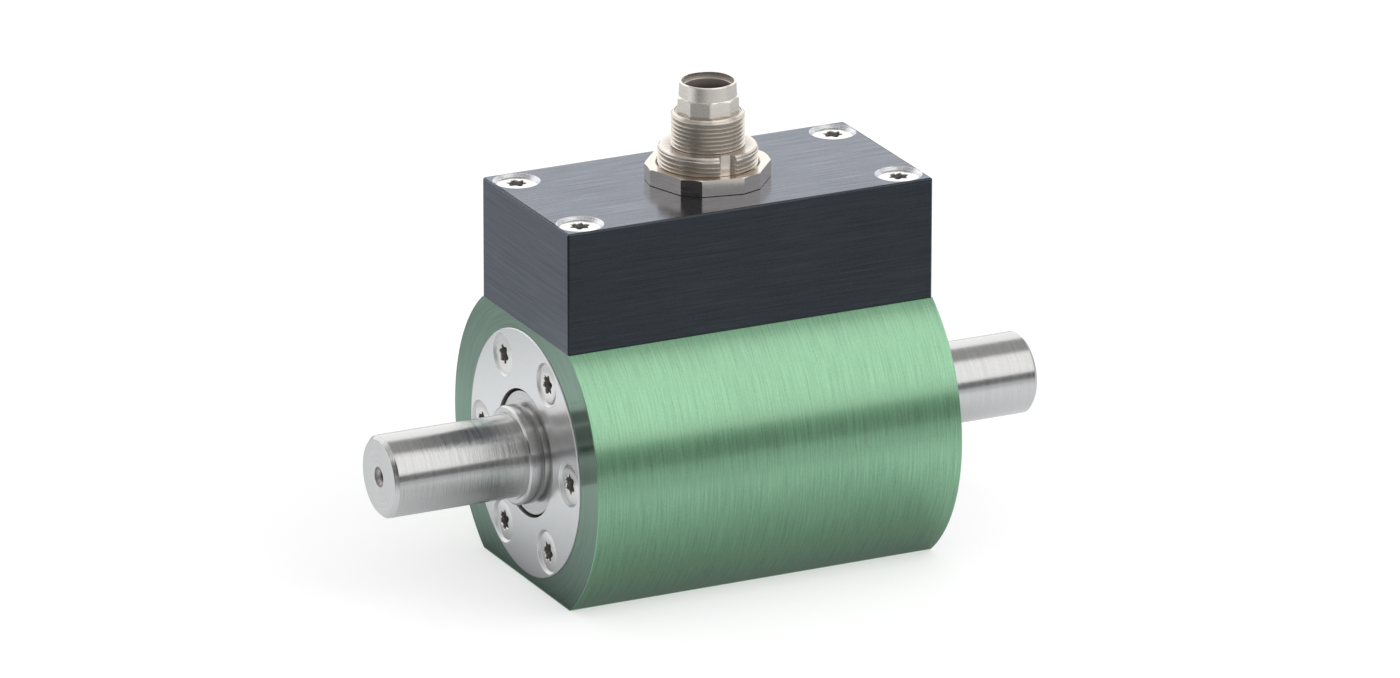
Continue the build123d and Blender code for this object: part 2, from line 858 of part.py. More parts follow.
def connector_sleeve():
    """The inner sleeve that stands out of the shell: flats, a cone, a rim and a stepped mouth."""
    ring_top = shell_top + sleeve_ring_height
    outline = RegularPolygon(sleeve_ring_radius, sleeve_ring_flats, rotation=sleeve_ring_turn)
    ring = Pos(0, 0, shell_top) * extrude(outline, sleeve_ring_height + sleeve_cone_height)
    ring &= turned_z(
        [
            (0, shell_top),
            (sleeve_ring_radius, shell_top),
            (sleeve_ring_radius, ring_top),
            (sleeve_rim_radius, sleeve_rim_bottom),
            (0, sleeve_rim_bottom),
        ]
    )
    root = rod_z(sleeve_outer_radius, sleeve_bottom, shell_top)
    rim_top_radius = sleeve_rim_radius - sleeve_rim_taper
    rim = turned_z(
        [
            (0, sleeve_rim_bottom),
            (sleeve_rim_radius, sleeve_rim_bottom),
            (rim_top_radius, sleeve_top - sleeve_rim_edge),
            (rim_top_radius - sleeve_rim_edge, sleeve_top),
            (0, sleeve_top),
        ]
    )
    bore = turned_z(
        [
            (0, sleeve_bottom - overshoot),
            (sleeve_bore_radius, sleeve_bottom - overshoot),
            (sleeve_bore_radius, sleeve_top - sleeve_mouth_depth),
            (sleeve_mouth_radius, sleeve_top - sleeve_mouth_depth),
            (sleeve_mouth_radius, sleeve_top + overshoot),
            (0, sleeve_top + overshoot),
        ]
    )
    return root + ring + rim - bore


def pin_places():
    """Places of the connector's pins, in two rings."""
    places = []
    circles = ((inner_pin_count, inner_pin_circle_radius), (outer_pin_count, outer_pin_circle_radius))
    for count, radius in circles:
        for i in range(count):
            angle = 2 * math.pi * i / count
            places.append((radius * math.cos(angle), radius * math.sin(angle)))
    return places


def connector_insert():
    """The plastic body that carries the pins."""
    lip_top = shell_bottom + connector_lip_height
    insert = turned_z(
        [
            (0, shell_bottom),
            (connector_lip_radius - sleeve_play, shell_bottom),
            (connector_lip_radius - sleeve_play, lip_top),
            (sleeve_outer_radius, lip_top),
            (sleeve_outer_radius, sleeve_bottom),
            (sleeve_bore_radius - sleeve_play, sleeve_bottom),
            (sleeve_bore_radius - sleeve_play, insert_face),
            (0, insert_face),
        ]
    )
    low, high = shell_bottom - overshoot, insert_face + overshoot
    for x, y in pin_places():
        insert -= few_sided_rod(pin_radius, low, high, pin_sides, x, y)
    return insert


def connector_pins():
    """The pins, from the board up into the socket."""
    tip = insert_face + pin_rise
    return [few_sided_rod(pin_radius, board_top, tip, pin_sides, x, y) for x, y in pin_places()]


os.makedirs("parts", exist_ok=True)

write("housing", housing())
for side_name, side, bearing_face in (("test", -1, test_bearing_face), ("drive", 1, drive_bearing_face)):
    write(side_name + "_end_cover", end_cover(side))
    write(side_name + "_end_screws", *end_screws(side))
    write(side_name + "_collar", sealing_collar(side, bearing_face))
    write(side_name + "_bearing_outer_ring", bearing_outer_ring(bearing_face, -side))
    write(side_name + "_bearing_inner_ring", bearing_inner_ring(bearing_face, -side))
    write(side_name + "_bearing_balls", *bearing_balls(bearing_face, -side))
    write(side_name + "_bearing_cage", bearing_cage(bearing_face, -side))
write("preload_spring", preload_spring())
write("shaft", shaft())
write("rotor_coil", rotor_coil())
write("stator_coil", stator_coil())
write("rotor_boards", *rotor_pair(rotor_board))
write("rotor_board_screws", *rotor_board_screws())
write("rotor_chips", *rotor_chips())
write("strain_gauges", *strain_gauges())
write("electronics_cover", electronics_cover())
write("cover_seal", cover_seal())
write("cover_screws", *cover_screws())
write("main_board", main_board())
write("board_screws", *board_screws())
write("board_components", *board_components())
write("stator_leads", *stator_leads())
write("connector_shell", connector_shell())
write("connector_seal", connector_seal())
write("connector_nut", connector_nut())
write("connector_sleeve", connector_sleeve())
write("connector_insert", connector_insert())
write("connector_pins", *connector_pins())
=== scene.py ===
import json
import math

import bmesh
import bpy
from mathutils import Matrix, Vector


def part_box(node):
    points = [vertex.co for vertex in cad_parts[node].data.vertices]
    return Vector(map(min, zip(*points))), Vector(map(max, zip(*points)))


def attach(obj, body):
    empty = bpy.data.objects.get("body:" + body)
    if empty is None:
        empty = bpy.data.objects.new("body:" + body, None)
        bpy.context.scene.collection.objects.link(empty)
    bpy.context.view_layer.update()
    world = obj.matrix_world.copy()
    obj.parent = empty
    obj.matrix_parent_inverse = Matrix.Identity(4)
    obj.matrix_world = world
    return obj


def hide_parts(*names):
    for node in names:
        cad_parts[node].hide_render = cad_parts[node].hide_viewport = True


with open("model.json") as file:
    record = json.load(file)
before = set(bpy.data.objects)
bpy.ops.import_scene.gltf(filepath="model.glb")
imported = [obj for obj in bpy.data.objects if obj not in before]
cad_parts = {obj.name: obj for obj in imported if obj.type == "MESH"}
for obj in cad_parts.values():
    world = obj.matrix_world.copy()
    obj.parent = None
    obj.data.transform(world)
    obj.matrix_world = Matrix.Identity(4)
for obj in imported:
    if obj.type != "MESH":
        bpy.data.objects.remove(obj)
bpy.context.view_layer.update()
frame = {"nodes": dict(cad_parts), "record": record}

bl_info = {
    "name": "Rotary torque sensor",
    "version": (1, 0, 0),
    "blender": (4, 5, 0),
    "location": "View3D > Sidebar > Torque sensor",
    "description": "Dresses the packed torque sensor with finer pieces, finishes, light and a camera",
    "category": "Object",
}

# Sizes are metres, as in the frame. The shaft lies along X and the test side is at -X.
MM = 0.001
MICRON = 0.000001
# Name of the mesh layer that holds painted shade for hollows and gaps
PAINTED_SHADE_ATTRIBUTE = "grime"
FINISH = "_finish"
SIDES = {"test": -1, "drive": 1}

AXIS_HEIGHT = sum(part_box("shaft"), Vector()).z / 2
ON_AXIS = Vector((0.0, 0.0, AXIS_HEIGHT))
COVER_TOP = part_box("electronics_cover")[1].z


def in_mm(name, description, default):
    """A size that a user may change, given in millimetres."""
    return bpy.props.FloatProperty(
        name=name,
        description=description,
        default=default * MM,
        min=0.0,
        precision=5,
        subtype="DISTANCE",
        unit="LENGTH",
    )


def in_degrees(name, description, degrees):
    """An angle that a user may change, given in degrees."""
    return bpy.props.FloatProperty(
        name=name,
        description=description,
        default=math.radians(degrees),
        subtype="ANGLE",
        unit="ROTATION",
    )


def plain_number(name, description, default):
    """A plain number that a user may change."""
    return bpy.props.FloatProperty(name=name, description=description, default=default, min=0.0)


def linear_colour(name, description, default):
    """A linear colour that a user may change."""
    return bpy.props.FloatVectorProperty(
        name=name,
        description=description,
        default=default,
        size=3,
        min=0.0,
        max=1.0,
        subtype="COLOR",
    )


class ShaftSizes(bpy.types.PropertyGroup):
    """Sizes of the shaft and of the collars pressed on it."""

    radius: in_mm("Shaft radius", "Radius of the plain shaft ends", 7.5)
    seat_radius: in_mm("Seat radius", "Radius of the seat under each collar", 7.8)
    seat_end: in_mm("Seat end", "Distance of the seat's end from the middle", 39.5)
    bearing_radius: in_mm("Bearing seat radius", "Radius under the bearings", 8.5)
    coil_radius: in_mm("Coil seat radius", "Radius under the rotor coil", 9.5)
    collar_radius: in_mm("Shaft collar radius", "Radius of the two collars beside the gauges", 11.0)
    collar_start: in_mm("Collar start", "Distance of those collars from the middle", 10.5)
    collar_end: in_mm("Collar end", "Distance of their outer faces from the middle", 13.5)
    board_flat: in_mm("Board flat", "Height of the flats that carry the rotor boards", 8.0)
    torsion_radius: in_mm("Torsion radius", "Corner radius of the square torsion part", 6.5)
    torsion_flat: in_mm("Torsion flat", "Height of its four flats above the axis", 5.6)
    end_chamfer: in_mm("End chamfer", "Chamfer at both shaft ends", 0.7)
    cone_radius: in_mm("Centre cone radius", "Radius of the centre hole's cone", 1.9)
    hole_radius: in_mm("Centre hole radius", "Radius of the centre hole", 0.9)
    hole_depth: in_mm("Centre hole depth", "Depth of the centre hole", 4.0)
    hub_radius: in_mm("Hub radius", "Radius of a sealing collar's hub", 9.0)
    hub_length: in_mm("Hub length", "Length of that hub", 3.0)
    hub_chamfer: in_mm("Hub chamfer", "Chamfer on both edges of the hub", 0.35)
    neck_radius: in_mm("Neck radius", "Radius of the neck behind the hub", 8.2)
    disc_sink: in_mm("Disc sink", "How far the collar's disc lies under the end cover's face", 0.55)
    disc_thickness: in_mm("Disc thickness", "Thickness of that disc", 1.2)
    nose_radius: in_mm("Nose radius", "Radius of the collar's nose on the bearing", 9.8)


class ScrewSizes(bpy.types.PropertyGroup):
    """Sizes of the countersunk M4 screws."""

    head_radius: in_mm("Head radius", "Radius of the flat head", 3.75)
    shank_radius: in_mm("Shank radius", "Radius of the thread", 1.95)
    end_sink: in_mm("End screw sink", "How far an end screw's head lies under the cover's face", 0.25)
    box_sink: in_mm("Box screw sink", "How far a box screw's head lies under the box's top", 0.4)
    rim_radius: in_mm("Countersink radius", "Radius of the countersink's rim on the box", 4.27)
    head_edge: in_mm("Head edge", "Width of the chamfer around the head", 0.5)
    socket_radius: in_mm("Socket radius", "Outer radius of the six-lobed socket", 1.85)
    socket_waist: in_mm("Socket waist", "Inner radius of the six-lobed socket", 1.32)
    socket_depth: in_mm("Socket depth", "Depth of the socket", 1.8)
    socket_mouth: in_mm("Socket mouth", "Chamfer around the socket", 0.14)
    circle_radius: in_mm("Screw circle radius", "Radius of the end cover's circle of screws", 18.2)
    end_length: in_mm("End screw length", "Length of an end cover's screw", 10.0)
    inset_x: in_mm("Inset along the box", "Distance of a cover screw from the box's end", 4.55)
    inset_y: in_mm("Inset across the box", "Distance of a cover screw from the box's side", 4.65)


class ConnectorSizes(bpy.types.PropertyGroup):
    """Sizes of the panel connector."""

    thread_radius: in_mm("Lower thread radius", "Outer radius of the wide thread", 9.0)
    thread_top: in_mm("Lower thread top", "Height of the wide step above the box", 6.4)
    upper_radius: in_mm("Upper thread radius", "Outer radius of the narrow thread", 6.65)
    bore_radius: in_mm("Bore radius", "Radius inside the shell", 6.0)
    flange_radius: in_mm("Flange radius", "Radius of the flange under the roof", 11.0)
    pitch: in_mm("Thread pitch", "Distance from thread to thread", 0.75)
    thread_depth: in_mm("Thread depth", "Depth of the thread", 0.45)
    lower_lip: in_mm("Lower lip", "Height of the lip above the wide thread", 1.45)
    upper_lip: in_mm("Upper lip", "Height of the lip above the narrow thread", 1.2)
    lip_sink: in_mm("Lip sink", "How far the lip lies under the thread's crests", 0.14)
    edge: in_mm("Step edge", "Chamfer on the top of each step", 0.3)
    slot_width: in_mm("Key slot width", "Width of the slot in the wide thread", 3.0)
    slot_depth: in_mm("Key slot depth", "Depth of the slot in the wide thread", 1.35)
    nut_corner_radius: in_mm("Nut corner radius", "Radius of the nut's twelve corners", 11.35)
    nut_chamfer: in_mm("Nut chamfer", "Chamfer on the nut's corners and foot", 0.2)
    ring_height: in_mm("Sleeve ring height", "Height of the faceted part of the sleeve", 2.55)
    ring_radius: in_mm("Sleeve ring radius", "Corner radius of that faceted part", 5.6)
    cone_height: in_mm("Sleeve cone height", "Height of the cone above the facets", 0.45)
    rim_radius: in_mm("Sleeve rim radius", "Radius at the foot of the sleeve's plain rim", 5.22)
    rim_taper: in_mm("Sleeve rim taper", "How much narrower the rim is at its top", 0.14)
    rim_edge: in_mm("Sleeve rim edge", "Chamfer on the rim's top", 0.15)
    mouth_radius: in_mm("Sleeve mouth radius", "Radius inside the rim", 4.7)
    mouth_depth: in_mm("Sleeve mouth depth", "Depth of the wider mouth", 1.0)
    sleeve_bore: in_mm("Sleeve bore radius", "Radius inside the sleeve", 4.2)
    pin_radius: in_mm("Pin radius", "Radius of a contact pin", 0.45)


class FinishColours(bpy.types.PropertyGroup):
    """Colours of the finishes, as linear values."""

    green: linear_colour("Green", "Green anodised housing", (0.265, 0.53, 0.32))
    green_face: linear_colour("Green end face", "Turned end faces of the housing", (0.12, 0.235, 0.165))
    black: linear_colour("Black", "Black anodised electronics box", (0.011, 0.019, 0.03))
    disc: linear_colour("End cover", "Turned bright end cover", (0.79, 0.79, 0.795))
    steel: linear_colour("Steel", "Ground steel of the shaft", (0.63, 0.625, 0.62))
    screw: linear_colour("Screw", "Bright screws", (0.9, 0.89, 0.87))
    nickel: linear_colour("Nickel", "Nickel-plated connector", (0.82, 0.755, 0.68))


class StageSettings(bpy.types.PropertyGroup):
    """Camera, light and floor."""

    azimuth: in_degrees("Camera azimuth", "Turn of the camera around the part, from its front", -26.054)
    elevation: in_degrees("Camera elevation", "Height of the camera over the horizon", 19.481)
    roll: in_degrees("Camera roll", "Turn of the camera about its own axis", 0.057)
    distance: in_mm("Camera distance", "Distance of the camera from the shaft's middle", 2187.87)
    aside: in_mm("Camera aside", "How far the camera stands to the left", 1.33)
    above: in_mm("Camera above", "How far the camera stands above that line", 15.04)
    lens: plain_number("Lens", "Focal length in millimetres on a sensor 36 mm wide", 313.73)
    softbox: plain_number("Softbox", "Brightness of the softbox as the metal shows it", 1.2)
    floor_share: plain_number("Floor share", "Share of the floor's light that the metal shows", 0.86)
    fill: plain_number("Fill", "Brightness of the room's light", 0.8)


def settings(name):
    """One of the part's groups of settings."""
    return getattr(bpy.context.scene, "torque_sensor_" + name)


def span(node):
    """How near and how far a node of one side is from the middle, along the shaft."""
    return sorted(abs(corner.x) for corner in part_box(node))


def rise(node):
    """How far a node's top is above the shaft's axis: the radius of a node that is round about it."""
    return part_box(node)[1].z - AXIS_HEIGHT


# Meshes

TURN_STEPS = 144
FINE_TURN_STEPS = 288
SCREW_STEPS = 72
PIN_STEPS = 24
SHARP_EDGE = math.radians(25.0)
FLAT_ANGLE = math.radians(0.2)
RING_MERGE = 0.1 * MICRON
CAD_MERGE = 1.0 * MICRON
LEAST_COSINE = 0.05


def at(value, angle):
    """A size, or a function of the angle that gives one."""
    return value(angle) if callable(value) else value


def flats(radius, distance, count, first=0.0):
    """A round outline with flat sides at that distance from the axis, the first one facing that angle."""
    step = 2 * math.pi / count

    def outline(angle):
        turn = (angle - first + step / 2) % step - step / 2
        return min(radius, distance / max(math.cos(turn), LEAST_COSINE))

    return outline


def ring_stack(rings, capped=False, steps=TURN_STEPS):
    """A wall along Z through rings, each a height, a radius and, where there is some, a darkening: painted
    shade for hollows and gaps.
    """
    mesh = bmesh.new()
    painted_shade_layer = mesh.verts.layers.float.new(PAINTED_SHADE_ATTRIBUTE)
    verts = bmesh.ops.create_circle(mesh, segments=steps, radius=1.0)["verts"]
    edges = list(mesh.edges)
    for number, (height, radius, *grime) in enumerate(rings):
        if number:
            made = bmesh.ops.extrude_edge_only(mesh, edges=edges)["geom"]
            verts = [item for item in made if isinstance(item, bmesh.types.BMVert)]
            edges = [item for item in made if isinstance(item, bmesh.types.BMEdge)]
        for vert in verts:
            angle = math.atan2(vert.co.y, vert.co.x)
            reach = at(radius, angle)
            vert.co = (reach * math.cos(angle), reach * math.sin(angle), at(height, angle))
            vert[painted_shade_layer] = at(grime[0], angle) if grime else 0.0
        if capped and number in (0, len(rings) - 1):
            bmesh.ops.edgeloop_fill(mesh, edges=edges)
    bmesh.ops.remove_doubles(mesh, verts=mesh.verts, dist=RING_MERGE)
    bmesh.ops.recalc_face_normals(mesh, faces=mesh.faces)
    return mesh


def along_x(mesh, side=1, centre=ON_AXIS):
    """Turns a mesh built along Z so that it points along X, outwards on that side, and moves it."""
    turn = Matrix.Rotation(side * math.pi / 2, 4, "Y")
    bmesh.ops.transform(mesh, matrix=Matrix.Translation(centre) @ turn, verts=mesh.verts)
    return mesh


def sharp_edges(mesh):
    """The edges where two faces meet at a clear angle."""
    return [edge for edge in mesh.edges if edge.is_manifold and edge.calc_face_angle() > SHARP_EDGE]


def bevel(mesh, edges, width, segments):
    """Bevels edges of a mesh and gives the faces that this makes."""
    made = bmesh.ops.bevel(
        mesh,
        geom=edges,
        offset=width,
        offset_type="OFFSET",
        segments=segments,
        profile=0.5,
        affect="EDGES",
        clamp_overlap=True,
        material=-1,
    )
    return made["faces"]


def round_edges(mesh, width):
    """Rounds every sharp edge a little. The faces beside a rounding keep their own shading."""
    rounded = set(bevel(mesh, sharp_edges(mesh), width, 2))
    for edge in mesh.edges:
        if len({face in rounded for face in edge.link_faces}) == 2:
            edge.smooth = False
    return mesh


def merged_copy(node):
    """The shape of a CAD node as one closed mesh with flat faces in one piece."""
    data = frame["nodes"][node].data.copy()
    stored_normals = data.attributes.get("custom_normal")
    if stored_normals:
        data.attributes.remove(stored_normals)
    mesh = bmesh.new()
    mesh.from_mesh(data)
    bpy.data.meshes.remove(data)
    bmesh.ops.remove_doubles(mesh, verts=mesh.verts, dist=CAD_MERGE)
    bmesh.ops.dissolve_limit(mesh, angle_limit=FLAT_ANGLE, verts=mesh.verts, edges=mesh.edges)
    for edge in mesh.edges:
        edge.smooth = True
    return mesh


def join(meshes):
    """Several meshes as one."""
    whole = bmesh.new()
    for mesh in meshes:
        part = bpy.data.meshes.new("part")
        mesh.to_mesh(part)
        mesh.free()
        whole.from_mesh(part)
        bpy.data.meshes.remove(part)
    return whole


def make_object(name, mesh, material):
    """An object of the mesh, at the origin and with one material."""
    data = bpy.data.meshes.new(name)
    mesh.to_mesh(data)
    mesh.free()
    data.materials.append(material)
    made = bpy.data.objects.new(name, data)
    bpy.context.scene.collection.objects.link(made)
    return made


def finish_piece(name, mesh, slot, body, *nodes):
    """Makes an object of the mesh in a slot's finish, which rides on a body and stands for CAD nodes."""
    for face in mesh.faces:
        face.smooth = True
    for edge in sharp_edges(mesh):
        edge.smooth = False
    piece = make_object(name, mesh, finish_of(slot))
    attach(piece, body)
    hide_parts(*nodes)


# Materials


def adds(operation):
    """A method that adds a Math node for a wire and for what else it is given."""

    def method(wire, *others):
        return wire.finish.math(operation, wire, *others)

    return method


class Wire:
    """A socket of a material. Sums on it add Math nodes."""

    def __init__(self, finish, socket):
        self.finish = finish
        self.socket = socket

    def __rsub__(self, other):
        return self.finish.math("SUBTRACT", other, self)

    __sub__ = adds("SUBTRACT")
    __add__ = __radd__ = adds("ADD")
    __mul__ = __rmul__ = adds("MULTIPLY")
    __truediv__ = adds("DIVIDE")
    __pow__ = adds("POWER")
    __abs__ = adds("ABSOLUTE")
    __gt__ = adds("GREATER_THAN")
    __lt__ = adds("LESS_THAN")
    at_least = adds("MAXIMUM")
    at_most = adds("MINIMUM")


class Finish:
    """One node material."""

    def __init__(self, tree):
        self.tree = tree

    @classmethod
    def material(cls, name):
        """A new material with its shader."""
        data = bpy.data.materials.new(name + FINISH)
        data.use_nodes = True
        made = cls(data.node_tree)
        made.data = data
        made.shader = data.node_tree.nodes["Principled BSDF"]
        return made

    def node(self, kind, choices=None, inputs=None, output=0):
        """Any node: its choices are set first, then its inputs. Gives one of its outputs."""
        made = self.tree.nodes.new(kind)
        for name, value in (choices or {}).items():
            setattr(made, name, value)
        for name, value in (inputs or {}).items():
            self.feed(made.inputs[name], value)
        return Wire(self, made.outputs[output])

    def math(self, operation, *values):
        """A Math node."""
        return self.node("ShaderNodeMath", {"operation": operation}, dict(enumerate(values)))

    def feed(self, socket, value):
        """Links a wire to a socket, or sets a plain value on it."""
        if isinstance(value, Wire):
            self.tree.links.new(value.socket, socket)
        elif socket.type == "RGBA" and len(value) == 3:
            socket.default_value = (*value, 1.0)
        else:
            socket.default_value = value

    def set(self, **values):
        """Sets or links sockets of the shader; a name has _ for each space."""
        for name, value in values.items():
            self.feed(self.shader.inputs[name.replace("_", " ")], value)

    def place(self, centre=(0.0, 0.0, 0.0)):
        """Object coordinates counted from a point, as three wires."""
        coordinates = self.node("ShaderNodeTexCoord", output=3)
        inputs = {0: coordinates, 1: tuple(centre)}
        moved = self.node("ShaderNodeVectorMath", {"operation": "SUBTRACT"}, inputs)
        return [self.node("ShaderNodeSeparateXYZ", inputs={0: moved}, output=axis) for axis in range(3)]

    def noise(self, x, y, z, detail=2.0, roughness=0.5):
        """Noise from 0 to 1 over three wires or numbers."""
        vector = self.node("ShaderNodeCombineXYZ", inputs={0: x, 1: y, 2: z})
        inputs = {"Vector": vector, "Scale": 1.0, "Detail": detail, "Roughness": roughness}
        return self.node("ShaderNodeTexNoise", inputs=inputs)

    def blend(self, share, first, second):
        """A colour between two colours."""
        inputs = {0: share, 6: first, 7: second}
        return self.node("ShaderNodeMix", {"data_type": "RGBA"}, inputs, output=2)

    def bump(self, height, distance):
        """A normal that follows a relief."""
        return self.node("ShaderNodeBump", inputs={"Height": height, "Distance": distance})


# Clouds and specks per metre, and how strongly lines, clouds and specks mix
CLOUDS = 60.0
SPECKS = 5000.0
LINE_WEIGHT = 2.2
CLOUD_WEIGHT = 0.4
SPECK_WEIGHT = 1.1
LINE_ROUGHNESS = 0.6

BLACK = (0.0, 0.0, 0.0)
WHITE = (1.0, 1.0, 1.0)
BARE_METAL = (0.88, 0.88, 0.88)
SATIN_NICKEL = (0.95, 0.895, 0.825)

# What the painted shade in hollows and gaps does to a metal
PAINTED_SHADE_COLOUR = (0.06, 0.042, 0.03)
PAINTED_SHADE_DULLING = 0.7
PAINTED_SHADE_ROUGHNESS = 0.3
# How much painted shade the seams beside other parts get, and how wide a seam is
SEAM_PAINTED_SHADE = 0.8
SEAM_WIDTH = 0.05 * MM

PLASTIC_CLOUDS = 90.0
PLASTIC_DARK = 0.8
PLASTIC_LIGHT = 1.25
PLASTIC_SPREAD = 0.2


def toned(colour, factor):
    """A colour made lighter or darker."""
    return tuple(min(part * factor, 1.0) for part in colour)


def metal(
    name,
    colour,
    roughness,
    grain,
    lift,
    tone=0.05,
    spread=0.06,
    patch=None,
    coat=None,
    seam=None,
    **constants,
):
    """Bare or coated metal with machining lines, darker where its mesh holds painted shade for hollows and
    gaps.

    grain gives the lines from the finish and its places, lift is how high they stand, tone how far they
    change the colour and spread the roughness. patch is a function that gives a mask of other places, then
    their colour, roughness and share of the coat. coat is its weight and how far the lines change that.
    seam is a function that gives a mask of painted shade in the gaps beside other parts. constants are
    further sockets.
    """
    finish = Finish.material(name)
    x, y, z = finish.place(ON_AXIS)
    lines = grain(finish, x, y, z)
    clouds = finish.noise(x * CLOUDS, y * CLOUDS, z * CLOUDS, detail=3.0)
    specks = finish.noise(x * SPECKS, y * SPECKS, z * SPECKS, detail=1.0)
    mixed = (lines - 0.5) * LINE_WEIGHT + (clouds - 0.5) * CLOUD_WEIGHT + (specks - 0.5) * SPECK_WEIGHT
    share = mixed + 0.5
    shade = finish.blend(share, toned(colour, 1 - tone), toned(colour, 1 + tone))
    # The mesh's painted shade darkens, dulls and roughens the metal
    grime = finish.node("ShaderNodeAttribute", {"attribute_name": PAINTED_SHADE_ATTRIBUTE}, output=2)
    # Seams beside other parts get painted shade too
    if seam:
        grime = grime + seam(finish, x, y, z) * SEAM_PAINTED_SHADE
    weight = coat[0] + mixed * coat[1] if coat else 0.0
    if patch:
        find, patch_colour, patch_roughness, coat_share = patch
        mask = find(finish, x, y, z)
        other = finish.blend(share, toned(patch_colour, 1 - tone), toned(patch_colour, 1 + tone))
        shade = finish.blend(mask, shade, other)
        roughness = roughness + mask * (patch_roughness - roughness)
        weight = weight * (1 - mask * (1 - coat_share))
    finish.set(
        Base_Color=finish.blend(grime, shade, PAINTED_SHADE_COLOUR),
        Metallic=1 - grime * PAINTED_SHADE_DULLING,
        Roughness=roughness + mixed * spread + grime * PAINTED_SHADE_ROUGHNESS,
        Coat_Weight=weight,
        Normal=finish.bump(lines, lift),
    )
    finish.set(**constants)


def plastic(name, colour, roughness, frequency, depth):
    """Moulded or potted material with a fine grain."""
    finish = Finish.material(name)
    x, y, z = finish.place()
    grain = finish.noise(x * frequency, y * frequency, z * frequency, detail=3.0)
    clouds = finish.noise(x * PLASTIC_CLOUDS, y * PLASTIC_CLOUDS, z * PLASTIC_CLOUDS)
    mixed = grain * 0.5 + clouds * 0.5
    finish.set(
        Base_Color=finish.blend(mixed, toned(colour, PLASTIC_DARK), toned(colour, PLASTIC_LIGHT)),
        Roughness=roughness + (mixed - 0.5) * PLASTIC_SPREAD,
        Normal=finish.bump(grain, depth),
    )


# Axes to turn about
SHAFT = 0
UPRIGHT = 2

# Cosines of the angle between an axis and the way a face looks
BESIDE_AXIS = 0.3
NEAR_AXIS = 0.9
ALONG_AXIS = 0.97

# Strength of brushed lines, and how much stronger they are on a face that looks up
BRUSH_STRENGTH = 0.8
BRUSH_GAIN = 0.8


def facing_along(finish, axis):
    """How far a face looks along an axis, from 0 to 1."""
    normal = finish.node("ShaderNodeTexCoord", output=1)
    return abs(finish.node("ShaderNodeSeparateXYZ", inputs={0: normal}, output=axis))


def turned_lines(axis, across, along):
    """Lines of a lathe or a brush about an axis, so many per metre across and along them.

    Faces that look along the axis get rings, and rounds get lines around them.
    """

    def grain(finish, *places):
        first, second = places[axis - 2], places[axis - 1]
        radius = (first * first + second * second) ** 0.5
        arc = radius * finish.math("ARCTAN2", first, second)
        rings = radius * ((facing_along(finish, axis) > BESIDE_AXIS) * across)
        return finish.noise(places[axis] * across, rings, arc * along, roughness=LINE_ROUGHNESS)

    return grain


def brushed_lines(across, along):
    """Straight lines of a brush along X, and along Y on the end faces."""

    def grain(finish, x, y, z):
        lengthwise = finish.noise(x * along, y * across, z * across, roughness=LINE_ROUGHNESS)
        sideways = finish.noise(x * across, y * along, z * across, roughness=LINE_ROUGHNESS)
        end_face = end_faces(finish, x, y, z)
        lines = lengthwise * (1 - end_face) + sideways * end_face
        return (lines - 0.5) * (facing_along(finish, UPRIGHT) * BRUSH_GAIN + BRUSH_STRENGTH) + 0.5

    return grain


def blasted(frequency):
    """Fine even grain."""

    def grain(finish, x, y, z):
        return finish.noise(x * frequency, y * frequency, z * frequency)

    return grain


def end_faces(finish, x, y, z):
    """One on the faces that look along X."""
    return facing_along(finish, SHAFT) > ALONG_AXIS


def off_the_face(finish, x, y, z):
    """One in the hollows and on the edges of a part whose face looks along X."""
    return facing_along(finish, SHAFT) < NEAR_AXIS


def beside_covers(finish, x, y, z):
    """One on the housing's wall around the end covers, where the seam gets painted shade."""
    return (y * y + z * z) ** 0.5 < rise("test_end_cover") + SEAM_WIDTH


def above_shell(finish, x, y, z):
    """One above the connector's shell, on its satin sleeve."""
    return z > rise("connector_shell")


def countersinks(finish, x, y, z):
    """One on the bare countersinks of the electronics box."""
    sizes = settings("screws")
    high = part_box("electronics_cover")[1]
    from_x = abs(x) - (high.x - sizes.inset_x)
    from_y = abs(y) - (high.y - sizes.inset_y)
    return sizes.rim_radius > (from_x * from_x + from_y * from_y) ** 0.5


